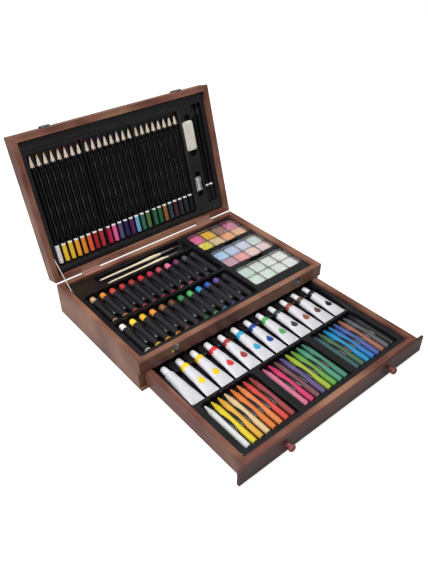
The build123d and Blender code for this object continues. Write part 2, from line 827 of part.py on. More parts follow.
def paint_tube():
    """A soft metal tube along +Y: flat crimp, swelling body, shoulder and neck."""
    body_end = tube_length - tube_cap_length - tube_shoulder_length
    stations = ((tube_crimp_length, tube_crimp_width / 2, tube_crimp_thick / 2),
                (body_end * 0.45, tube_crimp_width * 0.42, tube_shoulder_width * 0.34),
                (body_end, tube_shoulder_width / 2, tube_shoulder_width / 2))
    sections = [Plane(origin=(0, y, 0), x_dir=(1, 0, 0), z_dir=(0, 1, 0)) * Ellipse(a, b)
                for y, a, b in stations]
    body = loft(sections)
    half = tube_crimp_width / 2
    body += block(-half, half, 0, tube_crimp_length + 0.4, -tube_crimp_thick / 2,
                  tube_crimp_thick / 2)
    body += turned((0, body_end, 0), (0, 1, 0), [
        (0, tube_shoulder_width / 2), (tube_shoulder_length, tube_neck_width / 2),
        (tube_shoulder_length + tube_neck_length, tube_neck_width / 2),
    ])
    return body


def tube_cap():
    """The screw cap of a tube, a little wider at its mouth."""
    start = tube_length - tube_cap_length
    cap = turned((0, start, 0), (0, 1, 0), [
        (0, tube_cap_wide / 2), (tube_cap_length - 1.2, tube_cap_narrow / 2),
        (tube_cap_length, tube_cap_narrow / 2 - 1.2),
    ])
    return cap - rod((0, start, 0), (0, 1, 0), tube_neck_width, tube_neck_length)


def drawer_contents():
    """Twelve tubes of paint and three groups of crayons."""
    depth = tube_shoulder_width + rest_gap + 1.0
    axis = -depth + rest_gap + tube_shoulder_width / 2
    places = [Pos(tube_first + place * tube_pitch, tube_from_front, axis)
              for place in range(tube_count)]
    for name, one in (("paint_tubes", paint_tube()), ("tube_caps", tube_cap())):
        save(name, pulled([into_drawer(place * one) for place in places]))
    one = crayon()
    depth = crayon_width + rest_gap + 1.4
    axis = -depth + rest_gap + crayon_width / 2
    for group, name in enumerate(("crayons_left", "crayons_middle", "crayons_right")):
        first = crayon_first + group * crayon_group_pitch
        row = [Pos(first + place * crayon_pitch, crayon_from_front, axis) * one
               for place in range(crayons_per_group)]
        save(name, pulled([into_drawer(item) for item in row]))


def pastel():
    """An oil pastel along +Y in its wrapper, bare at the working end."""
    return turned((0, 0, 0), (0, 1, 0), [
        (0, pastel_width / 2), (1.0, pastel_width / 2), (1.0, pastel_wrap_width / 2),
        (pastel_length - pastel_bare, pastel_wrap_width / 2),
        (pastel_length - pastel_bare, pastel_width / 2), (pastel_length - 1.0, pastel_width / 2),
        (pastel_length, pastel_width / 2 - 1.0),
    ])


def pastels():
    """Two rows of oil pastels."""
    one = pastel()
    depth = pastel_wrap_width + rest_gap + 1.2
    axis = -depth + rest_gap + pastel_wrap_width / 2
    for name, y in zip(("oil_pastels_front", "oil_pastels_back"), pastel_rows_front):
        row = [into_base(Pos(pastel_first + place * pastel_pitch, y, axis) * one)
               for place in range(pastel_count)]
        save(name, row)


def palettes():
    """Three watercolour palettes: case with wells, cakes of paint and a clear cover."""
    cases = []
    cakes = []
    covers = []
    deep = palette_height + palette_cover_height + rest_gap + 1.0
    foot = -deep + rest_gap
    top = foot + palette_height
    half = palette_length / 2
    for y in palette_rows_front:
        x0 = palette_middle - half
        x1 = palette_middle + half
        case = rounded_block(x0, x1, y, y + palette_depth, foot, top, 2.0)
        for column in range(palette_columns):
            for line in range(palette_lines):
                x = palette_middle + (column - (palette_columns - 1) / 2) * cake_pitch_x
                mid_y = y + palette_depth / 2 + (line - (palette_lines - 1) / 2) * cake_pitch_y
                size = cake_size / 2
                cake = rounded_block(x - size, x + size, mid_y - size, mid_y + size,
                                     top - cake_well, top - cake_well + cake_height, cake_corner)
                case -= rounded_block(x - size, x + size, mid_y - size, mid_y + size,
                                      top - cake_well, top + 1, cake_corner)
                cakes.append(into_base(cake))
        cases.append(into_base(case))
        cover = rounded_block(x0, x1, y, y + palette_depth, top, top + palette_cover_height, 2.0)
        cover -= rounded_block(x0 + 1, x1 - 1, y + 1, y + palette_depth - 1, top,
                               top + palette_cover_height - palette_cover_thick, 1.2)
        covers.append(into_base(cover))
    save("palette_cases", cases)
    save("paint_cakes", cakes)
    save("palette_covers", covers)


def tuft(width, length):
    """A tuft of bristles along +X on a slice of its backing, drawing in to a point.

    The roots follow a sunflower spiral.  Every strand runs towards the same far point, so
    none crosses another, and the outer ones are shorter.
    """
    backing = rod((0, 0, 0), (1, 0, 0), width, tuft_backing)
    field = width / 2 - bristle_root - bristle_margin
    strands = []
    for index in range(bristles_per_brush):
        share = math.sqrt((index + 0.5) / bristles_per_brush)
        turn = index * math.pi * (3 - math.sqrt(5))
        y = field * share * math.cos(turn)
        z = field * share * math.sin(turn)
        reach = length * (1 - bristle_dome * share * share)
        shrink = 1 - bristle_taper * reach / length
        root = Plane(origin=(tuft_backing / 2, y, z), x_dir=(0, 1, 0), z_dir=(1, 0, 0))
        end = Plane(origin=(tuft_backing + reach, y * shrink, z * shrink), x_dir=(0, 1, 0),
                    z_dir=(1, 0, 0))
        strands.append(loft([root * RegularPolygon(bristle_root, 3),
                             end * RegularPolygon(bristle_end, 3)], ruled=True))
    return backing.fuse(*strands)


def brushes():
    """Two brushes: a turned wooden handle, a metal ferrule and a tuft."""
    handles = []
    ferrules = []
    tufts = []
    floor = -(brush_handle_belly + 3.0) + rest_gap
    axis = floor + brush_handle_belly / 2
    grip = brush_handle_length
    for (x, y), ferrule, width, length in zip(
        brush_places, brush_ferrule_lengths, brush_tuft_widths, brush_tuft_lengths
    ):
        inner = width / 2 - ferrule_wall
        handle = turned((x, y, axis), (1, 0, 0), [
            (0, 0.8), (1.0, brush_handle_end / 2), (grip * 0.5, brush_handle_end / 2 + 0.5),
            (grip - brush_belly_from_ferrule, brush_handle_belly / 2), (grip, inner),
            (grip + 8.0, inner),
        ])
        start = x + grip
        shell = turned((start, y, axis), (1, 0, 0), [
            (0, width / 2), (3.0, width / 2), (3.4, width / 2 + 0.25), (4.4, width / 2 + 0.25),
            (4.8, width / 2), (ferrule, width / 2),
        ])
        shell -= rod((start, y, axis), (1, 0, 0), 2 * inner, 8.0)
        shell -= rod((start + ferrule - 2.0, y, axis), (1, 0, 0), 2 * inner, 2.0)
        hair = Pos(start + ferrule - 2.0, y, axis) * tuft(2 * inner, length)
        handles.append(into_base(handle))
        ferrules.append(into_base(shell))
        tufts.append(into_base(hair))
    save("brush_handles", handles)
    save("brush_ferrules", ferrules)
    save("brush_tufts", tufts)


# ---- drawer --------------------------------------------------------------------------------
def drawer_box():
    """Front panel, four walls and a thin bottom held in grooves."""
    panel = block(left_x, right_x, front_y, panel_back_y, drawer_z, drawer_top)
    upright = panel.edges().filter_by(Axis.Z).group_by(Axis.Y)[0]
    panel = fillet(upright, edge_round)
    y0 = panel_back_y
    y1 = drawer_back_y
    inner = drawer_half - drawer_wall
    board = block(-inner - groove, inner + groove, y0 + drawer_wall - groove,
                  y1 - drawer_wall + groove, drawer_z + drawer_bottom_lift, drawer_floor)
    walls = {
        "drawer_side_left": block(-drawer_half, -inner, y0, y1, drawer_z, drawer_top),
        "drawer_side_right": block(inner, drawer_half, y0, y1, drawer_z, drawer_top),
        "drawer_front": block(-inner, inner, y0, y0 + drawer_wall, drawer_z, drawer_top),
        "drawer_back": block(-inner, inner, y1 - drawer_wall, y1, drawer_z, drawer_top),
    }
    middle = (drawer_z + drawer_top) / 2
    knobs = []
    screws = []
    shank = panel_thick + drawer_wall
    for x in (-knob_spacing / 2, knob_spacing / 2):
        knob = turned((x, front_y, middle), (0, -1, 0), [
            (0, 3.8), (1.2, 3.8), (1.8, knob_neck / 2), (4.6, knob_neck / 2),
            (6.2, knob_width / 2 - 0.4), (8.2, knob_width / 2), (10.4, knob_width / 2 - 0.7),
            (knob_reach - 0.4, 3.0), (knob_reach, 1.4),
        ])
        head_y = y0 + drawer_wall
        screw = rod((x, head_y, middle), (0, -1, 0), knob_screw_width,
                    head_y - front_y + knob_screw_grip)
        screw += rod((x, head_y, middle), (0, -1, 0), screw_head_width, screw_head_height)
        knobs.append(knob - screw)
        screws.append(screw)
    save("drawer_panel", pulled([panel - screws]))
    for name, piece in walls.items():
        piece -= board
        if name == "drawer_front":
            piece -= screws
        save(name, pulled([piece]))
    save("drawer_bottom", pulled([board]))
    save("drawer_knobs", pulled(knobs))
    save("knob_screws", pulled(screws))


base_walls()
hinges()
lid_walls()
lid_stay()
latches()
drawer_box()
save("lid_insert", opened([into_lid(lid_insert())]))
save("tray_insert", [into_base(base_insert())])
save("drawer_insert", pulled([into_drawer(drawer_insert())]))
lid_contents()
drawer_contents()
pastels()
palettes()
brushes()
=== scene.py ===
"""Looks of the wooden drawer box: its finishes, formed inserts, pencils, crayons, paints,
brushes, lamps and camera.  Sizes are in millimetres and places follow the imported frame."""
import json
import math

import bmesh
import bpy
import numpy as np
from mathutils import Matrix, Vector

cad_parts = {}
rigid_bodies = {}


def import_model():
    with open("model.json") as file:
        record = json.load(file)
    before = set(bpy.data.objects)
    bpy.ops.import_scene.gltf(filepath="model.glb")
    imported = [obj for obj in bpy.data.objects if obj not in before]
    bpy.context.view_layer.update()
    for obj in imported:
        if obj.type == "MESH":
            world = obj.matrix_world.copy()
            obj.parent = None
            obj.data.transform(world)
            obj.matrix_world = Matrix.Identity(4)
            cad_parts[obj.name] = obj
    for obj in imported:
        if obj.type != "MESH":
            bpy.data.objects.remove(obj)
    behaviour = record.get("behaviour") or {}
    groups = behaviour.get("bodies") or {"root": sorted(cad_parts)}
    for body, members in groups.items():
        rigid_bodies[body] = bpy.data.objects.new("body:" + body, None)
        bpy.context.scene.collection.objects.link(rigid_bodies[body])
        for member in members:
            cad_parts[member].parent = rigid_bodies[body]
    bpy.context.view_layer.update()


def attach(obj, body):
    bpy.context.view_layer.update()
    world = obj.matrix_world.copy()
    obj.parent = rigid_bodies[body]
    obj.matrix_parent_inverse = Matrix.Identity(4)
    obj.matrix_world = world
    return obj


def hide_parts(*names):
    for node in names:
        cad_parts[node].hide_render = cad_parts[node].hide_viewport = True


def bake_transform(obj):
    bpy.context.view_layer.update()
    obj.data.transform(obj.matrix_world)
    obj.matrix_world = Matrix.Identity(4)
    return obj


for leftover in list(bpy.data.objects):
    bpy.data.objects.remove(leftover)
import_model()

# ---- sizes of the case, the same as the construction's ----
MM = 0.001
case_width = 370.0
case_depth = 234.0
base_height = 54.0
wall = 9.5
lid_rim = base_height + 0.4
lid_open_angle = 106.0
hinge_y = case_depth / 2 + 1.2
hinge_z = base_height + 0.2
drawer_out = 205.0
drawer_top = 31.7
left_x = -case_width / 2
front_y = -case_depth / 2
back_y = case_depth / 2

# ---- formed inserts ----
insert_gap = 0.3
insert_corner = 8.0
insert_slack = 0.9           # a formed edge stands this far inside its allowance
tray_drop = 4.0              # top of the insert below the rim
lid_drop = 5.0
drawer_drop = 3.6
tray_insert_height = 13.0    # top face to foot
lid_insert_height = 16.0
drawer_insert_height = 19.8
draft = 1.3                  # a pocket's wall leans out this far from floor to top
edge_roll = 0.8              # the sheet's rounded outer edge
grid_step = 2.4
least_step = 0.17            # lines of a grid nearer than this are one
wall_turn = np.array([-0.4, 0.0, 0.2, 0.45, 0.7, 0.95, draft, draft + 0.3])
ridge_corner = 1.5
insert_edge = wall + insert_gap + insert_slack
case_outline = (insert_edge, case_width - insert_edge, insert_edge,
                case_depth - insert_edge)
drawer_room = (19.7, 13.6, 212.0)    # inside the drawer: side, front and back

# ---- pencils, from the left edge and from the hinge edge ----
pencil_width = 6.8
pencil_length = 175.0
pencil_cone = 16.0
pencil_tip = 1.4
pencil_dip = 28.0            # coloured end
pencil_band = 3.0            # white band after it
pencil_lead = 3.4            # coloured lead at the point
pencil_pitch = 11.5
pencil_first = 24.0
pencil_group_pitch = 94.5
pencil_from_hinge = 25.0
pencil_axis = -5.2           # below the insert's top face
pencil_depth = 8.9
pencils_per_group = 8
pencil_rib = (1.5, 1.3, 3.7)     # half width at foot and neck, rise above the axis
pencil_field = (19.0, 208.5)     # shallow field about the pencils
pencil_field_depth = 0.9
sketch_first = 335.5
sketch_pitch = 10.0
sketch_from_hinge = 31.0
pencil_grip = (60.0, 176.0)      # run of the ribs
grip_bulges = (80.0, 110.0, 160.0)
eraser_size = (22.0, 51.0, 11.0)
eraser_place = (317.0, 131.0)
sharpener_size = (12.0, 25.0, 10.0)
sharpener_place = (316.0, 55.5)
body_top = -0.6              # top of the eraser's and sharpener's body
block_fit = 0.4              # room about an eraser, a sharpener or a palette
recess_width = 13.0          # of a finger recess
recess_length = 14.0

# ---- tubes and crayons, from the left edge and from the front ----
tube_count = 12
tube_first = 38.0
tube_pitch = 26.5
tube_from_front = 121.0
tube_length = 85.0
tube_crimp = (23.0, 1.6, 5.0)        # width, thickness, length of the folded end
tube_shoulder = 15.0
tube_body = 67.5                     # crimp to shoulder
tube_neck = 7.6
tube_depth = 16.3
tube_axis = -8.5
cap_length = 15.0
cap_widths = (11.0, 9.6)
cap_ridge_half = 4.2                 # ridges between the caps: half width, run, top
cap_ridge_run = (185.0, 210.0)
cap_ridge_top = -3.0
tube_band_at = 60.6                  # printed band and drop, from the fold
drop_at = 28.5
drop_radius = 5.1
drop_point = 8.4                     # length of the drop's pointed part
crayon_width = 8.6
crayon_length = 86.0
crayon_cone = 13.0
crayon_tip = 2.6
crayon_pitch = 11.5
crayon_first = 38.2
crayon_group_pitch = 106.3
crayon_from_front = 25.0
crayon_axis = -5.7
crayon_depth = 10.3
crayons_per_group = 8
crayon_rib = (1.2, 1.1, 4.3)
crayon_grip = (49.0, 85.0)

# ---- tray: pastels, palettes and brushes ----
pastel_width = 10.0
pastel_wrap = 10.6
pastel_length = 70.0
pastel_bare = 12.0
pastel_first = 30.4
pastel_pitch = 18.2
pastel_count = 12
pastel_rows = (23.0, 108.0)
pastel_axis = -6.5
pastel_depth = 12.1
pastel_rib = (3.2, 3.2, 4.4)
palette_size = (106.0, 53.0, 9.0)
palette_middle = 304.0
palette_rows = (33.0, 98.5, 164.5)
palette_foot = -12.2
palette_deep = 12.5
cake_size = 23.4
cake_pitch = (26.0, 25.6)
cake_height = 4.0
cake_well = 5.0
brush_places = ((66.0, 212.0), (72.0, 196.5))
brush_handle = 122.0
brush_ferrules = (27.0, 19.0)
brush_widths = (5.4, 4.4)
brush_hair = (16.0, 14.0)
brush_belly = 6.8
brush_axis = -6.1
bristles = 170
hair_hidden = 2.0            # length inside the ferrule

# ---- the stay cord, by its route's points ----
stay_width = 1.4
stay_route = ((-174.4, 87.53, 53.59), (-174.4, 101.3, 65.2), (-174.4, 115.2, 76.9),
              (-174.4, 128.89, 88.62))


# ---- places ----
def turned_open(points):
    """Points of the shut lid, turned about the hinge pins by the angle it stands open."""
    turn = -math.radians(lid_open_angle)
    y = points[..., 1] - hinge_y
    z = points[..., 2] - hinge_z
    away = y * math.cos(turn) - z * math.sin(turn) + hinge_y
    up = y * math.sin(turn) + z * math.cos(turn) + hinge_z
    return np.stack([points[..., 0], away, up], -1)


def in_lid(points):
    """From (from the left edge, from the hinge edge, above the insert) to the open lid."""
    x, s, height = np.moveaxis(points, -1, 0)
    return turned_open(np.stack([left_x + x, back_y - s, lid_rim + lid_drop - height], -1))


def in_tray(points):
    """From (from the left edge, from the front, above the insert) to the tray."""
    return points + np.array([left_x, front_y, base_height - tray_drop])


def in_drawer(points):
    """From (from the left edge, from the front, above the insert) to the pulled drawer."""
    return points + np.array([left_x, front_y - drawer_out, drawer_top - drawer_drop])


# from places within a body to places in the part
home = {"lid": in_lid, "base": in_tray, "drawer": in_drawer, None: np.asarray}


def row(first, pitch, count, shift=0.0):
    """Places along a row, all moved on by a share of the pitch."""
    return [first + (number + shift) * pitch for number in range(count)]


# ---- surfaces ----
def turns(sides):
    """Even angles once round."""
    return np.arange(sides) * 2 * np.pi / sides


def squared(sides, power):
    """Cosine and sine about a ring, each to a power that draws the circle out to a square."""
    waves = np.cos(turns(sides)), np.sin(turns(sides))
    return [np.sign(wave) * np.abs(wave) ** power for wave in waves]


def stacked(x, y, z):
    """Points from x, y and z, each given per ring, per side or for both."""
    return np.stack(np.broadcast_arrays(x, y, z), -1)


def ease(value, start, end):
    """0 before start, 1 after end, and a smooth cubic between them."""
    share = np.clip((value - start) / (end - start), 0, 1)
    return share * share * (3 - 2 * share)


def bump(value, middle, width):
    """A bell of height 1 about the middle: exp(-(distance / width) squared)."""
    return np.exp(-((value - middle) / width) ** 2)


def skin(rings, **marks):
    """A closed skin over rings of points, (rings, sides, 3): four-sided faces between
    neighbouring rings and a fan over the first and last one.  A mark is a value per point."""
    count, sides = rings.shape[:2]
    index = np.arange(count * sides).reshape(count, sides)
    after = np.roll(index, -1, 1)
    quads = np.stack([index[:-1], index[1:], after[1:], after[:-1]], -1).reshape(-1, 4)
    first = np.stack([np.full(sides, count * sides), index[0], after[0]], -1)
    last = np.stack([np.full(sides, count * sides + 1), after[-1], index[-1]], -1)
    ends = np.stack([rings[0].mean(0), rings[-1].mean(0)])
    full = {}
    for name, value in marks.items():
        value = np.broadcast_to(np.asarray(value, float), (count, sides))
        full[name] = np.concatenate([value.ravel(), [value[0].mean(), value[-1].mean()]])
    return {"points": np.concatenate([rings.reshape(-1, 3), ends]),
            "faces": quads.tolist() + first.tolist() + last.tolist(), "marks": full}


def around(stations, radii, sides, axis="y"):
    """Rings about an axis: at each station along it a ring of the given radius, which may
    change with the angle."""
    along = np.asarray(stations, float)[:, None]
    radius = np.asarray(radii, float).reshape(len(along), -1)
    across = radius * np.cos(turns(sides))
    up = radius * np.sin(turns(sides))
    return stacked(across, along, up) if axis == "y" else stacked(along, -across, up)


def joined(parts):
    """Several skins as one, each still closed by itself."""
    points = []
    faces = []
    marks = {name: [] for name in parts[0]["marks"]}
    start = 0
    for part in parts:
        points.append(part["points"])
        faces += [[corner + start for corner in face] for face in part["faces"]]
        for name in marks:
            marks[name].append(part["marks"][name])
        start += len(part["points"])
    return {"points": np.concatenate(points), "faces": faces,
            "marks": {name: np.concatenate(value) for name, value in marks.items()}}


def copies(part, places, tints=None):
    """Copies of a skin, each moved to its place, with its own number and its own colour."""
    made = []
    for number, place in enumerate(places):
        marks = dict(part["marks"])
        marks["number"] = np.full(len(part["points"]), float(number))
        if tints:
            marks["tint"] = np.tile(linear(tints[number]), (len(part["points"]), 1))
        made.append({"points": part["points"] + np.asarray(place), "faces": part["faces"],
                     "marks": marks})
    return joined(made)


def add_piece(name, part, body, material, replaces=(), crease=35.0):
    """Make a skin a piece: points placed with its body and turned to metres, faces outward,
    marks kept as attributes, edges sharper than the crease angle left sharp."""
    mesh = bpy.data.meshes.new(name)
    mesh.from_pydata((home[body](part["points"]) * MM).tolist(), [], part["faces"])
    for mark, value in part["marks"].items():
        kind = "FLOAT_COLOR" if value.ndim == 2 else "FLOAT"
        attribute = mesh.attributes.new(mark, kind, "POINT")
        attribute.data.foreach_set("color" if value.ndim == 2 else "value",
                                   value.astype(np.float32).ravel())
    shell = bmesh.new()
    shell.from_mesh(mesh)
    bmesh.ops.recalc_face_normals(shell, faces=shell.faces)
    shell.to_mesh(mesh)
    shell.free()
    mesh.shade_smooth()
    mesh.set_sharp_from_angle(angle=math.radians(crease))
    mesh.materials.append(material)
    piece = bpy.data.objects.new(name, mesh)
    bpy.context.scene.collection.objects.link(piece)
    if body:
        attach(piece, body)
    if replaces:
        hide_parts(*replaces)
    return piece


# ---- materials ----
def linear(colour):
    """An sRGB hex colour as linear red, green, blue and full opacity."""
    parts = np.array([int(colour[i:i + 2], 16) for i in (1, 3, 5)]) / 255
    low = parts / 12.92
    high = ((parts + 0.055) / 1.055) ** 2.4
    return (*np.where(parts <= 0.04045, low, high), 1.0)


def node(tree, kind, inputs=None, output=0, **settings):
    """Add a node with its settings, fill or link its inputs, and give one of its outputs.
    A mix is one of colours, and a hex colour goes in as linear."""
    made = tree.nodes.new("ShaderNode" + kind)
    if kind == "Mix":
        made.data_type, output = "RGBA", 2
    for key, value in settings.items():
        setattr(made, key, value)
    for key, value in (inputs or {}).items():
        if isinstance(value, bpy.types.NodeSocket):
            tree.links.new(value, made.inputs[key])
        else:
            made.inputs[key].default_value = linear(value) if isinstance(value, str) else value
    return made.outputs[output] if made.outputs else None


def blank(name, *reads):
    """An empty material, its tree, and what it reads at each point: the place, a piece's tint
    or another of its marks."""
    material = bpy.data.materials.new(name)
    material.use_nodes = True
    tree = material.node_tree
    tree.nodes.clear()
    outputs = [node(tree, "TexCoord", output="Object") if read == "place" else
               node(tree, "Attribute", output="Color" if read == "tint" else "Fac",
                    attribute_name=read) for read in reads]
    return material, tree, *outputs


def shaded(material, colour, rough, relief=None, more=None):
    """End a material in one surface shader.  Its relief is a height, a strength and a depth
    in millimetres."""
    tree = material.node_tree
    inputs = {"Base Color": colour, "Roughness": rough, **(more or {})}
    if relief:
        height, strength, deep = relief
        inputs["Normal"] = node(tree, "Bump", {
            "Height": height, "Strength": strength, "Distance": deep * MM})
    node(tree, "OutputMaterial", {"Surface": node(tree, "BsdfPrincipled", inputs)})
    return material


def stained_wood(name, grain, tilt=0.0, dark="#4a2b25", mid="#7a4a3e", pale="#a97f64"):
    """Solid paulownia or pine, stained red-brown under thin satin lacquer: streaks 1.8 mm wide
    and 70 mm long, fine dark pores, paler where the stain took less.  The grain runs along x
    or y, and the lid's sides are tilted with it."""
    material, tree, place = blank(name, "place")
    level = node(tree, "Mapping", {"Vector": place, "Rotation": (math.radians(tilt), 0, 0)})
    streak = 1 / (1.8 * MM)
    run = 1 / (70 * MM)
    size = (run, streak, streak) if grain == "x" else (streak, run, streak)
    pore_size = tuple(value * 2.6 for value in size)
    drawn, fine = (node(tree, "Mapping", {"Vector": level, "Scale": scale})
                   for scale in (size, pore_size))
    streaks = node(tree, "TexNoise", {
        "Vector": drawn, "Scale": 1.0, "Detail": 4.0, "Roughness": 0.6, "Distortion": 0.4})
    pores = node(tree, "TexNoise", {"Vector": fine, "Scale": 1.0, "Detail": 2.0})
    cloud = node(tree, "TexNoise", {"Vector": level, "Scale": 1 / (95 * MM), "Detail": 2.0})
    light = node(tree, "MapRange", {0: streaks, 1: 0.35, 2: 0.68})
    pitted = node(tree, "MapRange", {0: pores, 1: 0.60, 2: 0.72, 4: 0.5})
    faded = node(tree, "MapRange", {0: cloud, 1: 0.44, 2: 0.68, 4: 0.52})
    colour = dark
    for share, over in ((light, mid), (pitted, "#2f1a16"), (faded, pale)):
        colour = node(tree, "Mix", {0: share, 6: colour, 7: over})
    gloss = node(tree, "MapRange", {0: streaks, 3: 0.36, 4: 0.52})
    return shaded(material, colour, gloss, (streaks, 0.16, 0.4), {
        "Specular IOR Level": 0.30, "Coat Weight": 0.05, "Coat Roughness": 0.30})


def bare_board():
    """Thin plywood under the tray and the drawer, stained on its face: flat wide figure of
    6 mm bands, matt."""
    material, tree, place = blank("bare_plywood", "place")
    drawn = node(tree, "Mapping", {
        "Vector": place, "Scale": (1 / (90 * MM), 1 / (6 * MM), 1 / (6 * MM))})
    figure = node(tree, "TexNoise", {
        "Vector": drawn, "Scale": 1.0, "Detail": 5.0, "Distortion": 0.8})
    share = node(tree, "MapRange", {0: figure, 1: 0.3, 2: 0.7})
    colour = node(tree, "Mix", {0: share, 6: "#6b4c3a", 7: "#8d6a51"})
    return shaded(material, colour, 0.7, (figure, 0.2, 0.3))


def formed_sheet():
    """High-impact polystyrene, vacuum formed over a mould: black, satin, with the faint
    1.2 mm orange-peel that the mould leaves and slightly shinier pressed spots."""
    material, tree, place = blank("formed_black_polystyrene", "place")
    peel = node(tree, "TexNoise", {"Vector": place, "Scale": 1 / (1.2 * MM), "Detail": 2.0})
    waves = node(tree, "TexNoise", {"Vector": place, "Scale": 1 / (24 * MM), "Detail": 1.0})
    colour = node(tree, "Mix", {0: waves, 6: "#0e0d0f", 7: "#181619"})
    gloss = node(tree, "MapRange", {0: waves, 3: 0.20, 4: 0.32})
    return shaded(material, colour, gloss, (peel, 0.06, 0.25))


def plated_steel(name, colour, rough, scratch, mirror=1.0):
    """Pressed steel under bright nickel, tin or a copper wash, or milled light metal, which
    is less of a mirror: fine polishing lines about 0.5 mm apart, a little dulling in patches
    of 4 mm, and painted shade, near black, on faces marked as shaded grooves."""
    material, tree, place, hollow = blank(name, "place", "hollow")
    drawn = node(tree, "Mapping", {
        "Vector": place, "Scale": (1 / (6 * MM), 1 / (0.5 * MM), 1 / (0.5 * MM))})
    lines = node(tree, "TexNoise", {"Vector": drawn, "Scale": 1.0, "Detail": 2.0})
    patches = node(tree, "TexNoise", {"Vector": place, "Scale": 1 / (4 * MM), "Detail": 3.0})
    worn = node(tree, "MapRange", {0: patches, 3: rough - 0.06, 4: rough + 0.12})
    dull = node(tree, "Math", {0: patches, 1: 1.0 if mirror == 1.0 else 0.5},
                operation="MULTIPLY")
    # painted shade: marked groove faces go near black in place of the shadow in the grooves
    for share, over in ((dull, "#8f8d88"), (hollow, "#161618")):
        colour = node(tree, "Mix", {0: share, 6: colour, 7: over})
    return shaded(material, colour, worn, (lines, scratch, 0.05), {"Metallic": mirror})


def pencil_lacquer(name, dyed):
    """A lacquered pencil: a dipped colour end, a white band, a black gloss barrel, bare cedar
    where the point is cut, with 0.7 mm grain, and the lead.  The sketching pencils are black
    through, their cut wood dyed too."""
    material, tree, place, along, cut, tint = blank(name, "place", "along", "cut", "tint")
    fibre = node(tree, "TexNoise", {"Vector": place, "Scale": 1 / (0.7 * MM), "Detail": 3.0})
    past_dip, past_band, lead = (
        node(tree, "Math", {0: along, 1: end}, operation="GREATER_THAN")
        for end in (pencil_dip, pencil_dip + pencil_band, pencil_length - pencil_lead))
    bare = node(tree, "Math", {0: cut, 1: 0.0}, operation="GREATER_THAN")
    low, high = ("#0f0f10", "#1b1a1c") if dyed else ("#a8998a", "#c2b6a8")
    wood = node(tree, "Mix", {0: fibre, 6: low, 7: high})
    colour = tint
    for share, over in ((past_dip, "#e4e2dc"), (past_band, "#08080a"), (bare, wood),
                        (lead, tint)):
        colour = node(tree, "Mix", {0: share, 6: colour, 7: over})
    gloss = node(tree, "MapRange", {0: bare, 3: 0.20, 4: 0.72})
    grain = node(tree, "Math", {0: fibre, 1: bare}, operation="MULTIPLY")
    return shaded(material, colour, gloss, (grain, 0.3, 0.2), {"Specular IOR Level": 0.28})


def wax_crayon():
    """Moulded wax in a wrapper of matt coloured paper: the wax a little darker, waxy gloss,
    faint 2.5 mm mould flow; the paper with 0.6 mm fibre."""
    material, tree, place, wrapped, tint = blank("wax_crayon", "place", "wrapped", "tint")
    flow = node(tree, "TexNoise", {"Vector": place, "Scale": 1 / (2.5 * MM), "Detail": 3.0})
    fibre = node(tree, "TexNoise", {"Vector": place, "Scale": 1 / (0.6 * MM), "Detail": 2.0})
    paper = node(tree, "Math", {0: wrapped, 1: 0.5}, operation="GREATER_THAN")
    mottle = node(tree, "MapRange", {0: flow, 1: 0.3, 2: 0.8, 3: 0.80, 4: 1.06})
    wax = node(tree, "VectorMath", {0: tint, "Scale": mottle}, operation="SCALE")
    soft = node(tree, "MapRange", {0: fibre, 3: 0.0, 4: 0.03})
    sleeve = node(tree, "Mix", {0: soft, 6: tint, 7: "#d8d4cc"})
    colour = node(tree, "Mix", {0: paper, 6: wax, 7: sleeve})
    gloss = node(tree, "MapRange", {0: paper, 3: 0.36, 4: 0.62})
    return shaded(material, colour, gloss, (flow, 0.12, 0.3), {"Specular IOR Level": 0.20})


def tube_enamel():
    """Soft aluminium tube, printed white enamel with a band of the paint's colour at the
    shoulder and a drop of it on the front: low gloss, 9 mm dents where it was filled."""
    material, tree, place, band, drop, tint = blank(
        "enamelled_tube", "place", "band", "drop", "tint")
    dents = node(tree, "TexNoise", {"Vector": place, "Scale": 1 / (9 * MM), "Detail": 2.0})
    on_band = node(tree, "Math", {0: band, 1: 0.0}, operation="GREATER_THAN")
    on_drop, rim = (node(tree, "Math", {0: drop, 1: edge}, operation="LESS_THAN")
                    for edge in (0.0, 0.55))
    printed = node(tree, "Math", {0: on_band, 1: on_drop}, operation="MAXIMUM")
    colour = "#b9b8bd"
    for share, over in ((dents, "#cdccd0"), (rim, "#b0aeb2"), (printed, tint)):
        colour = node(tree, "Mix", {0: share, 6: colour, 7: over})
    return shaded(material, colour, 0.33, (dents, 0.35, 0.8), {"Specular IOR Level": 0.35})


def moulded(name, low, high, rough, flow_mm):
    """Injection-moulded plastic, or wood under thick lacquer: even colour with faint flow in
    patches, and a gloss that varies a little over the same patches."""
    material, tree, place = blank(name, "place")
    flow = node(tree, "TexNoise", {"Vector": place, "Scale": 1 / (flow_mm * MM), "Detail": 3.0})
    colour = node(tree, "Mix", {0: flow, 6: low, 7: high})
    gloss = node(tree, "MapRange", {0: flow, 3: rough - 0.05, 4: rough + 0.08})
    return shaded(material, colour, gloss, (flow, 0.08, 0.3))


def vinyl_eraser():
    """Soft white vinyl, cut and tumbled: matt, faint 0.9 mm crumb and rubbed grey smears."""
    material, tree, place = blank("vinyl_eraser", "place")
    crumb = node(tree, "TexNoise", {"Vector": place, "Scale": 1 / (0.9 * MM), "Detail": 4.0})
    smears = node(tree, "TexNoise", {"Vector": place, "Scale": 1 / (11 * MM), "Detail": 4.0})
    share = node(tree, "MapRange", {0: smears, 1: 0.35, 2: 0.7})
    colour = node(tree, "Mix", {0: share, 6: "#c6c1b5", 7: "#dad5cb"})
    return shaded(material, colour, 0.78, (crumb, 0.2, 0.2), {
        "Subsurface Weight": 0.05, "Subsurface Radius": (0.002, 0.002, 0.0015)})


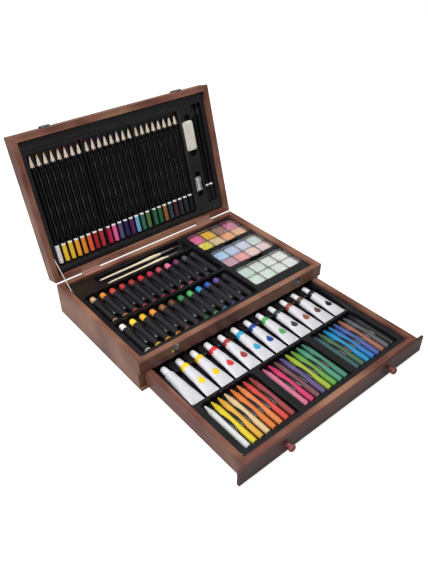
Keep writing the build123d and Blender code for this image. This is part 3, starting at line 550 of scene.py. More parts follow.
def oil_pastel():
    """Pressed oil pastel in a black paper wrapper: the bare end greasy, crumbled at 1.4 mm;
    the wrapper smooth coated paper with 0.5 mm fibre."""
    material, tree, place, wrapped, tint = blank("oil_pastel", "place", "wrapped", "tint")
    crumb = node(tree, "TexNoise", {"Vector": place, "Scale": 1 / (1.4 * MM), "Detail": 4.0})
    fibre = node(tree, "TexNoise", {"Vector": place, "Scale": 1 / (0.5 * MM), "Detail": 2.0})
    worn = node(tree, "MapRange", {0: crumb, 1: 0.3, 2: 0.75, 3: 0.62, 4: 1.10})
    stick = node(tree, "VectorMath", {0: tint, "Scale": worn}, operation="SCALE")
    sleeve = node(tree, "Mix", {0: fibre, 6: "#121214", 7: "#232226"})
    paper = node(tree, "Math", {0: wrapped, 1: 0.5}, operation="GREATER_THAN")
    colour = node(tree, "Mix", {0: paper, 6: stick, 7: sleeve})
    gloss = node(tree, "MapRange", {0: paper, 3: 0.55, 4: 0.30})
    return shaded(material, colour, gloss, (crumb, 0.25, 0.3))


def pressed_paint():
    """A pressed cake of watercolour: chalky, matt, grains of 0.8 mm with pale bloom."""
    material, tree, place, tint = blank("pressed_watercolour", "place", "tint")
    grains = node(tree, "TexNoise", {"Vector": place, "Scale": 1 / (0.8 * MM), "Detail": 4.0})
    bloom = node(tree, "TexNoise", {"Vector": place, "Scale": 1 / (7 * MM), "Detail": 3.0})
    share = node(tree, "MapRange", {0: bloom, 1: 0.45, 2: 0.8, 4: 0.22})
    colour = node(tree, "Mix", {0: share, 6: tint, 7: "#efe9e2"})
    return shaded(material, colour, 0.75, (grains, 0.12, 0.2))


def clear_cover():
    """Thin clear polystyrene, moulded: see-through straight on, mirror-like at a low angle,
    with 18 mm waves in its gloss."""
    material, tree, place = blank("clear_polystyrene", "place")
    waves = node(tree, "TexNoise", {"Vector": place, "Scale": 1 / (18 * MM), "Detail": 1.0})
    relief = node(tree, "Bump", {"Height": waves, "Strength": 0.10, "Distance": 0.6 * MM})
    edge = node(tree, "Fresnel", {"IOR": 1.5, "Normal": relief})
    share = node(tree, "MapRange", {0: edge, 3: 0.0, 4: 0.6})
    through = node(tree, "BsdfTransparent", {"Color": "#ffffff"})
    mirror = node(tree, "BsdfGlossy", {"Color": "#ffffff", "Roughness": 0.08, "Normal": relief})
    surface = node(tree, "MixShader", {0: share, 1: through, 2: mirror})
    node(tree, "OutputMaterial", {"Surface": surface})
    return material


def brush_hair_finish():
    """Dark brown natural hair: each hair 0.15 mm, drawn coarser so that it shows, darker at
    the root, and some hairs paler than others."""
    material, tree, along, number = blank("natural_hair", "along", "number")
    varied = node(tree, "TexWhiteNoise", {"W": number}, noise_dimensions="1D")
    paler = node(tree, "MapRange", {0: varied, 3: 0.0, 4: 0.5})
    colour = "#1c1310"
    for share, over in ((along, "#4a332a"), (paler, "#6d5140")):
        colour = node(tree, "Mix", {0: share, 6: colour, 7: over})
    return shaded(material, colour, 0.5)


def braided_cord():
    """A braided polyester cord, 1.4 mm: pale grey, its strands crossing every 1.1 mm, with
    painted shade where the weave dips.
    """
    material, tree, along, turn = blank("braided_polyester_cord", "along", "turn")
    strands = []
    for way in (1, -1):
        round_it = node(tree, "Math", {0: along, 1: way * 2 * math.pi / 1.1, 2: turn},
                        operation="MULTIPLY_ADD")
        strands.append(node(tree, "Math", {0: round_it}, operation="SINE"))
    weave = node(tree, "Math", {0: strands[0], 1: strands[1]}, operation="MULTIPLY")
    share = node(tree, "MapRange", {0: weave, 1: -1.0, 2: 1.0})
    # painted shade: darker where the weave dips between strands
    colour = node(tree, "Mix", {0: share, 6: "#8d857c", 7: "#d9d3c9"})
    return shaded(material, colour, 0.8, (share, 0.6, 0.15))


wood_across = stained_wood("stained_wood_along_width", "x")
wood_deep = stained_wood("stained_wood_along_depth", "y")
wood_lid_side = stained_wood("stained_wood_lid_side", "y", lid_open_angle)
# painted shade: the drawer's front panel gets a darker copy of the stain, for the shade on a
# face turned from the lamps
wood_front_painted_shade = stained_wood("stained_wood_drawer_face_painted_shade", "x", 0.0, "#38201e", "#573531", "#64423a")
wood_knob = stained_wood("varnished_wood_knob", "y", 0.0, "#623032", "#8c4c4d", "#9c5f5c")
board = bare_board()
black_sheet = formed_sheet()
nickel = plated_steel("nickel_plated_steel", "#cfd0d2", 0.17, 0.05)
copper_wash = plated_steel("copper_washed_steel", "#a9705e", 0.40, 0.05, 0.45)
magnesium = plated_steel("milled_magnesium", "#dcdde0", 0.42, 0.25, 0.5)
blade_steel = plated_steel("ground_blade_steel", "#e6e7ea", 0.36, 0.15, 0.5)
ferrule_tin = plated_steel("bright_tinned_ferrule", "#d3d4d6", 0.20, 0.08)
white_cap = moulded("moulded_white_cap", "#cfcdd0", "#e2e0e2", 0.34, 4.0)
black_case = moulded("moulded_black_case", "#111113", "#1d1c1f", 0.30, 5.0)
handle_lacquer = moulded("cream_lacquered_wood", "#cdbb9c", "#e3d6bd", 0.32, 6.0)
colour_pencil = pencil_lacquer("lacquered_colour_pencil", False)
sketch_pencil = pencil_lacquer("lacquered_sketch_pencil", True)
crayon_wax = wax_crayon()
tube_print = tube_enamel()
eraser_vinyl = vinyl_eraser()
pastel_stick = oil_pastel()
cake_paint = pressed_paint()
cover_clear = clear_cover()
tuft_hair = brush_hair_finish()
cord_braid = braided_cord()

cad_finishes = {
    wood_across: ("base_back", "base_front_rail", "lid_front", "lid_back", "lid_panel",
                  "drawer_front", "drawer_back"),
    wood_front_painted_shade: ("drawer_panel",),
    wood_knob: ("drawer_knobs",),
    wood_deep: ("base_side_left", "base_side_right", "drawer_side_left", "drawer_side_right",
                "base_bottom"),
    wood_lid_side: ("lid_left", "lid_right"),
    board: ("tray_floor", "drawer_bottom"),
    copper_wash: ("hinge_leaves_base", "hinge_leaves_lid", "hinge_screws_base",
                  "hinge_screws_lid"),
    nickel: ("hinge_pins", "latch_keepers", "latch_plates", "latch_pins", "latch_hasp_left",
             "latch_hasp_right", "keeper_brads", "latch_brads", "knob_screws",
             "stay_clip_base", "stay_clip_lid"),
    blade_steel: ("sharpener_screw",),
    cover_clear: ("palette_covers",),
}
for material, names in cad_finishes.items():
    for name in names:
        part = bpy.data.objects[name]
        part.data.materials.clear()
        part.data.materials.append(material)


# ---- formed inserts ----
def off_rectangle(x, y, box, corner):
    """Distance to a rectangle with rounded corners, negative inside it."""
    x0, x1, y0, y1 = box
    over_x = np.abs(x - (x0 + x1) / 2) - (x1 - x0) / 2 + corner
    over_y = np.abs(y - (y0 + y1) / 2) - (y1 - y0) / 2 + corner
    outside = np.hypot(np.maximum(over_x, 0), np.maximum(over_y, 0))
    return outside + np.minimum(np.maximum(over_x, over_y), 0) - corner


def grid_lines(start, end, walls):
    """Lines of a grid: even steps, and a close set where a wall turns, leaning outward."""
    values = [np.arange(start, end, grid_step), [end]]
    values += [place + side * wall_turn for place, side in walls]
    lined = np.unique(np.clip(np.concatenate(values), start, end))
    kept = [lined[0]]
    for value in lined[1:-1]:
        if value - kept[-1] > least_step and end - value > least_step:
            kept.append(value)
    return np.array(kept + [end])


def pressed_sheet(box, height, pockets, ridges=()):
    """A formed sheet.  Height over the grid is 0 on the top face and falls to a pocket's
    depth over its leaning wall; a ridge stands up again inside a pocket.  The grid's corners
    are drawn in to round ones, and the edge rolls over into a skirt down to its foot."""
    x0, x1, y0, y1 = box
    across, along = (
        grid_lines(box[low] + edge_roll, box[low + 1] - edge_roll,
                   [(area[low + far], 2 * far - 1) for area, *_ in (*pockets, *ridges)
                    for far in (0, 1)])
        for low in (0, 2))
    x, y = np.meshgrid(across, along, indexing="ij")
    level = np.zeros_like(x)
    for area, depth, corner in pockets:
        share = 1 - ease(off_rectangle(x, y, area, corner), 0.0, draft)
        level = np.minimum(level, -depth * share)
    for area, top in ridges:
        share = 1 - ease(off_rectangle(x, y, area, ridge_corner), 0.0, draft)
        level = np.maximum(level, level + (top - level) * share)
    centre_x = np.clip(x, x0 + insert_corner, x1 - insert_corner)
    centre_y = np.clip(y, y0 + insert_corner, y1 - insert_corner)
    off_x = x - centre_x
    off_y = y - centre_y
    reach = np.hypot(off_x, off_y)
    square = np.maximum(np.abs(off_x), np.abs(off_y))
    shrink = np.where(reach > 0, square / np.maximum(reach, 1e-9), 1.0)
    points = np.stack([centre_x + off_x * shrink, centre_y + off_y * shrink, level], -1)
    count = x.size
    index = np.arange(count).reshape(x.shape)
    quads = np.stack([index[:-1, :-1], index[1:, :-1], index[1:, 1:], index[:-1, 1:]], -1)
    rim = np.concatenate([index[0, :-1], index[:-1, -1], index[-1, :0:-1], index[:0:-1, 0]])
    edge = points.reshape(-1, 3)[rim]
    from_centre = edge[:, :2] - np.stack([centre_x.ravel()[rim], centre_y.ravel()[rim]], -1)
    outward = from_centre / np.linalg.norm(from_centre, axis=1, keepdims=True)
    skirt = ((0.5, 0.12), (edge_roll, 0.7), (edge_roll, height - 0.4),
             (edge_roll - 0.4, height))
    loops = [edge + np.column_stack([outward * out, np.full(len(rim), -down)])
             for out, down in skirt]
    foot = np.array([[(x0 + x1) / 2, (y0 + y1) / 2, -height]])
    ring = [rim] + [count + k * len(rim) + np.arange(len(rim)) for k in range(len(loops))]
    sides = [np.stack([a, b, np.roll(b, -1), np.roll(a, -1)], -1)
             for a, b in zip(ring, ring[1:])]
    under = np.stack([ring[-1], np.full(len(rim), count + len(loops) * len(rim)),
                      np.roll(ring[-1], -1)], -1)
    faces = quads.reshape(-1, 4).tolist() + np.concatenate(sides).tolist() + under.tolist()
    return {"points": np.concatenate([points.reshape(-1, 3), *loops, foot]), "faces": faces,
            "marks": {}}


def grip_rib(x, start, end, floor, axis, foot, neck, rise, head, stations, sway=np.zeros_like):
    """A rib that grips two round things.  Its section is narrow from the floor up to their
    axis, widens above it to the head and is domed; the head's half width changes along the
    rib, its crest may sway sideways, and both ends taper."""
    along = np.linspace(start, end, stations)
    share = (along - start) / (end - start)
    taper = np.sqrt(np.clip(np.sin(np.pi * share), 0, 1)) ** 0.5
    waist = axis - floor
    up = np.array([0.0, waist, *(waist + rise * part for part in (0.55, 0.8, 0.95)),
                   waist + rise])
    rings = []
    for place, half, drawn, off in zip(along, head(along), taper, sway(along)):
        widths = np.array([foot, neck, 0.5 * (neck + half), half, 0.72 * half, 0.25 * half])
        widths = widths * (0.35 + 0.65 * drawn)
        top = floor + up * (0.55 + 0.45 * drawn)
        middle = x + off * np.array([0, 0, 0.4, 0.8, 1, 1])
        left, right = (stacked(middle + side * widths, place, top) for side in (-1, 1))
        rings.append(np.concatenate([left, right[::-1]]))
    return skin(np.array(rings))


def add_insert(name, body, outline, height, pockets, ribs, ridges=()):
    """An insert's sheet and its ribs as one piece."""
    sheet = pressed_sheet(outline, height, pockets, ridges)
    add_piece(f"formed_{name}_insert", joined([sheet] + ribs), body,
              black_sheet, (f"{name}_insert",), 50.0)


def pencil_bulges(s):
    """Three bells along a pencil rib: where it swells and sways."""
    return sum(bump(s, middle, 6.5) for middle in grip_bulges)


def lid_insert():
    """The lid's insert: three pencil pockets in one shallow field, two long pockets, and
    pockets with finger recesses for eraser and sharpener."""
    ribs = []
    reach = pencil_pitch / 2 - 0.8
    last_row = pencil_first + 2 * pencil_group_pitch + (pencils_per_group - 1) * pencil_pitch
    pockets = [((pencil_first - 9.0, last_row + 8.0, *pencil_field), pencil_field_depth, 3.0)]
    for first in row(pencil_first, pencil_group_pitch, 3):
        last = first + (pencils_per_group - 1) * pencil_pitch
        pockets.append(((first - reach, last + reach, pencil_from_hinge - 2.5,
                         pencil_from_hinge + pencil_length + 3.0), pencil_depth, 2.0))
        ribs += [grip_rib(x, *pencil_grip, -pencil_depth, pencil_axis, *pencil_rib,
                          lambda s: 1.05 + 0.75 * pencil_bulges(s), 70,
                          lambda s: 0.75 * pencil_bulges(s))
                 for x in row(first, pencil_pitch, pencils_per_group - 1, 0.5)]
    half = pencil_width / 2 + 1.0
    for x in row(sketch_first, sketch_pitch, 2):
        pockets.append(((x - half, x + half, sketch_from_hinge - 1,
                         sketch_from_hinge + pencil_length + 1), pencil_depth, 2.0))
    for (middle, start), (width, length, tall) in ((eraser_place, eraser_size),
                                                   (sharpener_place, sharpener_size)):
        half = width / 2 + block_fit
        deep = tall + 0.9
        end = start + length
        pockets.append(((middle - half, middle + half, start - block_fit, end + block_fit),
                        deep, 1.0))
        finger = min(recess_width, width) / 2
        for s in (start - 10.0, end - 4.0):
            pockets.append(((middle - finger, middle + finger, s, s + recess_length),
                            deep - 1.5, 4.0))
    add_insert("lid", "lid", case_outline, lid_insert_height, pockets, ribs)


def tray_insert():
    """The tray's insert: two rows for pastels with ribs, a brush trough, three palette
    pockets and the finger slots between them."""
    pockets = []
    ribs = []
    reach = pastel_pitch / 2 + 0.4
    last = pastel_first + (pastel_count - 1) * pastel_pitch
    for y in pastel_rows:
        pockets.append(((pastel_first - reach, last + reach, y - 3, y + pastel_length + 4),
                        pastel_depth, 2.0))
        middle = y + pastel_length * 0.42
        ribs += [grip_rib(x, middle - 17, middle + 17, -pastel_depth, pastel_axis,
                          *pastel_rib, lambda s: np.full_like(s, 3.9), 24)
                 for x in row(pastel_first, pastel_pitch, pastel_count - 1, 0.5)]
    half = palette_size[0] / 2 + block_fit
    pockets += [((palette_middle - half, palette_middle + half, y - block_fit,
                  y + palette_size[1] + block_fit), palette_deep, 2.0)
                for y in palette_rows]
    slot = 13.5
    pockets += [((palette_middle - slot, palette_middle + slot, y - slot, y + 4),
                 palette_deep - 3.0, 4.0) for y in palette_rows[1:]]
    starts, lines = zip(*brush_places)
    far = max(start + brush_handle + ferrule + hair for start, ferrule, hair in
              zip(starts, brush_ferrules, brush_hair))
    pockets.append(((min(starts) - 8, far + 6, min(lines) - brush_belly,
                     max(lines) + brush_belly), brush_belly + 3.0, 6.0))
    add_insert("tray", "base", case_outline, tray_insert_height, pockets, ribs)


def drawer_insert():
    """The drawer's insert: a wide pocket for the tubes with ridges between their caps, and
    three pockets for crayons with lens-shaped ribs that grip them at the waist."""
    half = tube_crimp[0] / 2 + 1.6
    last = tube_first + (tube_count - 1) * tube_pitch
    pockets = [((tube_first - half, last + half, tube_from_front - 1.4,
                 tube_from_front + tube_length + 2.6), tube_depth, 2.0)]
    ridges = [((x - cap_ridge_half, x + cap_ridge_half, *cap_ridge_run), cap_ridge_top)
              for x in row(tube_first, tube_pitch, tube_count - 1, 0.5)]
    ribs = []
    reach = crayon_pitch / 2 + 0.2
    for first in row(crayon_first, crayon_group_pitch, 3):
        last = first + (crayons_per_group - 1) * crayon_pitch
        pockets.append(((first - reach, last + reach, crayon_from_front - 1.6,
                         crayon_from_front + crayon_length + 1.6), crayon_depth, 2.0))
        ribs += [grip_rib(x, *crayon_grip, -crayon_depth, crayon_axis, *crayon_rib,
                          lambda s: 1.25 + 1.15 * bump(s, sum(crayon_grip) / 2, 14.0), 30)
                 for x in row(first, crayon_pitch, crayons_per_group - 1, 0.5)]
    side, front, back = drawer_room
    outline = (side + insert_slack, case_width - (side + insert_slack), front + insert_slack,
               back - insert_slack)
    add_insert("drawer", "drawer", outline, drawer_insert_height, pockets, ribs, ridges)


# ---- pencils ----
pencil_colours = (
    ("#e2dadb", "#dcb935", "#dcae34", "#de9a34", "#d8822f", "#d2592f", "#9c2029", "#a33336"),
    ("#b9204c", "#dd5f96", "#544a72", "#2a2450", "#54265c", "#6a9fc0", "#2f6752", "#4f6c41"),
    ("#2f6a48", "#275a3f", "#8a5a31", "#2c3c49", "#40282a", "#2c2c32", "#262a31", "#18181c"),
)


def pencil(sides=42):
    """A six-sided pencil along y.  Its radius is the lesser of a hexagon's, with corners
    eased, and the cone's; the cut mark is how far the hexagon stands outside the cone."""
    apothem = pencil_width / 2
    folded = np.mod(turns(sides) - np.pi / 2 + np.pi / 6, np.pi / 3) - np.pi / 6
    hexagon = np.minimum(apothem / np.cos(folded), apothem * 1.12)
    slope = (apothem - pencil_tip / 2) / pencil_cone
    length = pencil_length
    along = np.concatenate([
        [0.0, 0.2, 0.6, 1.2, 6.0, 20.0, pencil_dip - 0.1, pencil_dip + 0.1,
         pencil_dip + pencil_band - 0.1, pencil_dip + pencil_band + 0.1, 60.0, 100.0, 140.0],
        np.arange(length - pencil_cone - 3.6, length - pencil_cone + 1.6, 0.4),
        [length - 12.0, length - 8.0, length - pencil_lead - 0.2, length - pencil_lead + 0.2,
         length - 2.0, length - 0.4, length]])
    cone = pencil_tip / 2 + (length - along) * slope
    cone[-1] = pencil_tip * 0.22
    blunt = np.interp(along, [0.0, 0.2, 0.6, 1.2], [0.80, 0.90, 0.97, 1.0])
    dipped = np.where(along < pencil_dip + pencil_band, 1.0, 0.985)
    barrel = (blunt * dipped)[:, None] * hexagon
    radius = np.minimum(barrel, cone[:, None])
    cut = np.clip(barrel - cone[:, None], -1.0, 1.0)
    return skin(around(along, radius, sides), along=along[:, None], cut=cut)


def three_groups(one, first, group_pitch, pitch, start, axis, colours):
    """The left, middle and right group of pencils or crayons, and their sides' names."""
    for side, x0, tints in zip(("left", "middle", "right"), row(first, group_pitch, 3),
                               colours):
        yield side, copies(one, [(x, start, axis) for x in row(x0, pitch, len(tints))], tints)


def pencils():
    """Three groups of eight colour pencils and the two sketching pencils."""
    one = pencil()
    for side, group in three_groups(one, pencil_first, pencil_group_pitch, pencil_pitch,
                                    pencil_from_hinge, pencil_axis, pencil_colours):
        add_piece(f"colour_pencils_{side}", group, "lid", colour_pencil,
                  (f"pencils_{side}",), 28.0)
    places = [(x, sketch_from_hinge, pencil_axis) for x in row(sketch_first, sketch_pitch, 2)]
    add_piece("sketch_pencils_pair", copies(one, places, ("#18181a", "#18181a")), "lid",
              sketch_pencil, ("sketching_pencils",), 28.0)


def eraser(sides=56):
    """The eraser: sections along its length, each a circle that a power draws out to a
    rounded square.  They narrow near both ends as a superellipse does, half as much in
    height as in width."""
    width, length, tall = eraser_size
    middle, start = eraser_place
    along = np.array([0.0, 0.12, 0.5, 1.1, 2.0, 6.0, 15.0, 25.5, 36.0, 45.0, 49.0, 49.9, 50.5,
                      50.88, 51.0])[:, None]
    off = np.abs(along - length / 2) / (length / 2)
    drawn = np.maximum((1 - off ** 24) ** (1 / 6), 0.86)
    across, up = squared(sides, 0.22)
    rings = stacked(drawn * (across * width / 2), along, (0.5 + 0.5 * drawn) * (up * tall / 2))
    part = skin(rings + np.array([middle, start, body_top - tall / 2]))
    add_piece("eraser_block", part, "lid", eraser_vinyl, ("eraser",), 55.0)


def sharpener():
    """The sharpener: a body of one section carried along its length, drawn in at the waist by
    a squared sine, with two deep grooves beside the seat whose faces carry painted shade; and
    a blade that leans across it."""
    width, length, tall = sharpener_size
    middle, start = sharpener_place
    foot = body_top - tall
    rail = -1.0
    seat = -2.2
    half = width / 2
    right = np.array([(0.0, foot), (half - 0.6, foot), (half - 0.15, foot + 0.2),
                      (half, foot + 0.6), (half, rail - 0.5), (half - 0.15, rail - 0.12),
                      (half - 0.5, rail), (half - 1.4, rail), (half - 1.6, rail - 0.3),
                      (half - 1.65, rail - 0.8), (half - 1.7, rail - 4.6),
                      (half - 3.4, rail - 4.6), (half - 3.45, seat - 0.4),
                      (half - 3.5, seat - 0.1), (half - 3.7, seat), (0.6, seat)])
    # 1 on the groove faces: painted shade, drawn near black in place of their shadow
    black = np.array([0.0] * 9 + [1.0] * 4 + [0.0] * 3)
    section = np.concatenate([right, right[:0:-1] * np.array([-1, 1])])
    black = np.concatenate([black, black[:0:-1]])
    along = np.concatenate([[0.0, 0.3], np.linspace(1.0, length - 1.0, 22),
                            [length - 0.3, length]])
    waist = 1 - 0.15 * np.sin(np.pi * along / length) ** 2
    waist *= np.interp(along, [0, 0.3, length - 0.3, length], [0.96, 1, 1, 0.96])
    outer = np.clip(np.abs(section[:, 0]) - (half - 1.6), 0, None) / 1.6
    narrowed = section[:, 0] * (1 - outer * (1 - waist[:, None]))
    rings = stacked(middle + narrowed, start + along[:, None], section[:, 1])
    add_piece("grooved_sharpener_body", skin(rings, hollow=black), "lid",
              magnesium, ("sharpener_body",), 30.0)
    blade = np.array([(-1.9, -2.15), (2.5, -1.55), (2.65, -1.35), (2.5, -1.2), (-1.7, -1.75),
                      (-1.9, -1.9)])
    stations = start + np.array([1.5, 1.6, length - 1.6, length - 1.5])
    rings = stacked(middle + blade[:, 0], stations[:, None], blade[:, 1])
    add_piece("leaning_sharpener_blade", skin(rings), "lid", blade_steel,
              ("sharpener_blade",), 30.0)


# ---- drawer contents ----
tube_colours = ("#c4c3c8", "#dcc22c", "#dcb92c", "#c9323c", "#93383a", "#2f97c0", "#203e8c",
                "#4c9a58", "#2b423c", "#8a4f38", "#5a403e", "#1b1b1f")
crayon_colours = (
    ("#c3c3c3", "#c6b129", "#c39335", "#c3a87d", "#c06a2e", "#c3703f", "#b53d36", "#813637"),
    ("#b96781", "#b2305a", "#654145", "#53456e", "#8b9e31", "#578b3a", "#448366", "#3a725e"),
    ("#305054", "#3f5a41", "#1a7ca8", "#2667a1", "#40518e", "#895848", "#4f5053", "#1f1f22"),
)


def crayon(sides=36):
    """A crayon along y: a straight stick with a stepped cone, its blunt end rounded, in a
    paper sleeve that stands 0.12 mm proud between two stations."""
    half = crayon_width / 2
    shoulder = crayon_length - crayon_cone
    along = np.array([0.0, 0.3, 1.0, 3.0, 3.1, 20.0, 40.0, shoulder - 7.1, shoulder - 7.0,
                      shoulder - 1.0, shoulder, shoulder + 0.5, shoulder + 4.0, shoulder + 8.0,
                      crayon_length - 1.0, crayon_length - 0.3, crayon_length])
    bare = half - 0.12
    tip = crayon_tip / 2
    radius = np.array([bare - 0.7, bare - 0.2, bare, bare, half, half, half, half, bare, bare,
                       bare - 0.1, bare - 0.4, 3.0, 2.15, tip, tip - 0.2, tip - 0.7])
    wrapped = ((along > 3.05) & (along < shoulder - 7.05)).astype(float)
    return skin(around(along, radius, sides), wrapped=wrapped[:, None])


def crayons():
    """Three groups of eight crayons."""
    for side, group in three_groups(crayon(), crayon_first, crayon_group_pitch, crayon_pitch,
                                    crayon_from_front, crayon_axis, crayon_colours):
        add_piece(f"wax_crayons_{side}", group, "drawer", crayon_wax,
                  (f"crayons_{side}",))


def paint_tube(sides=64):
    """A soft tube along y.  Its section goes from a flat folded end to a round shoulder: the
    half width eases down, the half thickness rises as a root, and small sines dent it.  The
    band mark is positive from the wavy edge of the printed band, and the drop mark is
    negative inside a drop: a half circle, whose half width then falls as a cosine to a point
    towards the cap."""
    width, thick, fold = tube_crimp
    shoulder = tube_shoulder / 2
    along = np.concatenate([[0.0, 0.15], np.arange(0.5, fold, 0.5), [fold - 0.1, fold + 0.3],
                            np.arange(6.0, 22.0, 2.0), np.arange(22.0, 42.0, 0.8),
                            np.arange(42.0, 57.0, 2.0), np.arange(57.0, tube_body, 0.6)])
    share = np.clip((along - fold) / (tube_body - fold), 0, 1)
    half_width = width / 2 + (shoulder - width / 2) * ease(share, -0.25, 1.08)
    half_thick = thick / 2 + (shoulder - thick / 2) * share ** 0.62
    crimped = thick / 2 - 0.12 + 0.12 * np.sin(along * 2 * np.pi / 1.25)
    half_thick = np.where(along < fold, crimped, half_thick)
    half_thick[0] *= 0.7
    across, up = squared(sides, (0.78 + 0.22 * share)[:, None])
    dent = 1 - (0.035 * np.sin(along[:, None] * 0.21 + 1.0) * np.sin(turns(sides) * 2)
                * np.sin(np.pi * share)[:, None])
    body = stacked(across * half_width[:, None] * dent, along[:, None],
                   up * half_thick[:, None] * dent)
    neck = tube_neck / 2
    rings = np.concatenate([body, around(
        [tube_body + past for past in (0, 1.4, 2.4, 2.5, 9.0)],
        [shoulder, shoulder - 0.7, neck + 1.2, neck, neck], sides)])
    across, far, up = np.moveaxis(rings, -1, 0)
    band = far - (tube_band_at + 1.3 * np.sin(across * 1.3 + 0.5))
    past = far - drop_at
    half = drop_radius * np.cos(np.clip(past / drop_point, 0, 1) * np.pi / 2) ** 1.25
    drop = np.where(past > 0, np.maximum(np.abs(across) - half, past - drop_point),
                    np.hypot(across, past) - drop_radius)
    return skin(rings, band=band, drop=np.where(up > 0, drop, 9.0))


def tube_cap(sides=84):
    """A screw cap along y: a cone frustum with fine grip flutes, eased at its end."""
    along = np.array([0.0, 0.25, 1.2, 1.6, 4.0, 8.0, 12.4, 12.9, 13.6, 14.4, 14.85, 15.0])
    half = np.interp(along, [0, cap_length], [cap_widths[0] / 2, cap_widths[1] / 2])
    eased = np.interp(along, [0, 0.25, 13.6, 14.4, 14.85, 15.0], [0.96, 1, 1, 0.94, 0.84, 0.72])
    flute = np.interp(along, [1.2, 1.6, 12.4, 12.9], [0, 1, 1, 0])
    wave = 0.12 * (np.cos(turns(sides) * 28) - 1)
    return skin(around(along, (half * eased)[:, None] + flute[:, None] * wave, sides))


def tubes():
    """Twelve tubes of paint and their caps."""
    tube_places, cap_places = (
        [(x, start, tube_axis) for x in row(tube_first, tube_pitch, tube_count)]
        for start in (tube_from_front, tube_from_front + (tube_length - cap_length)))
    add_piece("enamelled_tubes", copies(paint_tube(), tube_places, tube_colours), "drawer",
              tube_print, ("paint_tubes",), 45.0)
    add_piece("fluted_tube_caps", copies(tube_cap(), cap_places), "drawer",
              white_cap, ("tube_caps",), 30.0)


# ---- tray contents ----
pastel_back_colours = ("#c9a27a", "#d7842f", "#c4442c", "#b0312c", "#93302f", "#c22336",
                       "#b3213f", "#b1475c", "#df6f8e", "#71305c", "#4a4a50", "#22222a")
pastel_front_colours = ("#e9e4da", "#f0d33c", "#eab02c", "#e78a2e", "#8a5a34", "#5c3a2a",
                        "#2d7d46", "#4da65b", "#2a8fb8", "#2c4f9c", "#5f4590", "#1c1c20")
cake_colours = (
    ("#d2e6d8", "#dce8de", "#e6eae5", "#ebedea", "#c6dfd1", "#d6e3d8", "#e2e7e0", "#e9eae6"),
    ("#c890a8", "#ec9a95", "#eccabe", "#eed0d0", "#a2caea", "#b6c5e6", "#cad1e6", "#cedcd6"),
    ("#e9dc3e", "#e7cf9f", "#ee9f5c", "#eeb783", "#ea70a6", "#ecbb24", "#a37c74", "#cd648f"),
)


def pastel(sides=32):
    """An oil pastel along y: rounded bare end, paper wrapper 0.3 mm proud, worn tip."""
    bare = pastel_width / 2
    wrap = pastel_wrap / 2
    length = pastel_length
    edge = length - pastel_bare
    along = np.array([0.0, 0.4, 1.0, 1.05, 30.0, edge - 0.05, edge, edge + 6.0,
                      length - 1.8, length - 0.7, length - 0.15, length])
    radius = np.array([bare - 0.8, bare - 0.2, bare, wrap, wrap, wrap, bare, bare,
                       bare - 0.1, bare - 0.7, bare - 1.6, bare - 2.4])
    wrapped = ((along > 1.02) & (along < edge - 0.01)).astype(float)
    return skin(around(along, radius, sides), wrapped=wrapped[:, None])


def pastels():
    """Two rows of twelve oil pastels."""
    one = pastel()
    for y, name, colours in zip(pastel_rows, ("front", "back"),
                                (pastel_front_colours, pastel_back_colours)):
        places = [(x, y, pastel_axis) for x in row(pastel_first, pastel_pitch, pastel_count)]
        add_piece(f"pastel_sticks_{name}", copies(one, places, colours), "base",
                  pastel_stick, (f"oil_pastels_{name}",))


def wells():
    """The middles of a palette's eight wells, across it and from its front edge."""
    return [((column - 1.5) * cake_pitch[0], palette_size[1] / 2 + (line - 0.5) * cake_pitch[1])
            for line in range(2) for column in range(4)]


def palette_case():
    """A palette's case: a box whose top falls into eight wells over steep walls."""
    width, deep, tall = palette_size
    half = cake_size / 2
    pockets = [((x - half, x + half, y - half, y + half), cake_well, 2.0) for x, y in wells()]
    return pressed_sheet((-width / 2, width / 2, 0, deep), tall, pockets)


def paint_cake(sides=48):
    """One cake: rounded-square rings from its foot over the rim to a pressed inner square."""
    across, up = squared(sides, 0.28)
    spread = cake_size / 2 - 0.05 - np.array([0, 0, 0.3, 1.0, 3.4, 4.0, 4.6, 7.0, 9.6])[:, None]
    level = cake_height - np.array([cake_height, 0.5, 0.12, 0, 0.1, 0.45, 0.7, 0.62, 0.55])
    return skin(stacked(spread * across, spread * up, level[:, None]))


def palettes():
    """Three palettes: black cases with wells, and a cake of paint in each well."""
    top = palette_foot + palette_size[2]
    cases = [(palette_middle, y, top) for y in palette_rows]
    add_piece("palette_well_cases", copies(palette_case(), cases), "base",
              black_case, ("palette_cases",), 50.0)
    places = [(palette_middle + x, y + front, top - cake_well)
              for y in palette_rows for x, front in wells()]
    add_piece("watercolour_cakes", copies(paint_cake(), places, sum(cake_colours, ())), "base",
              cake_paint, ("paint_cakes",), 40.0)


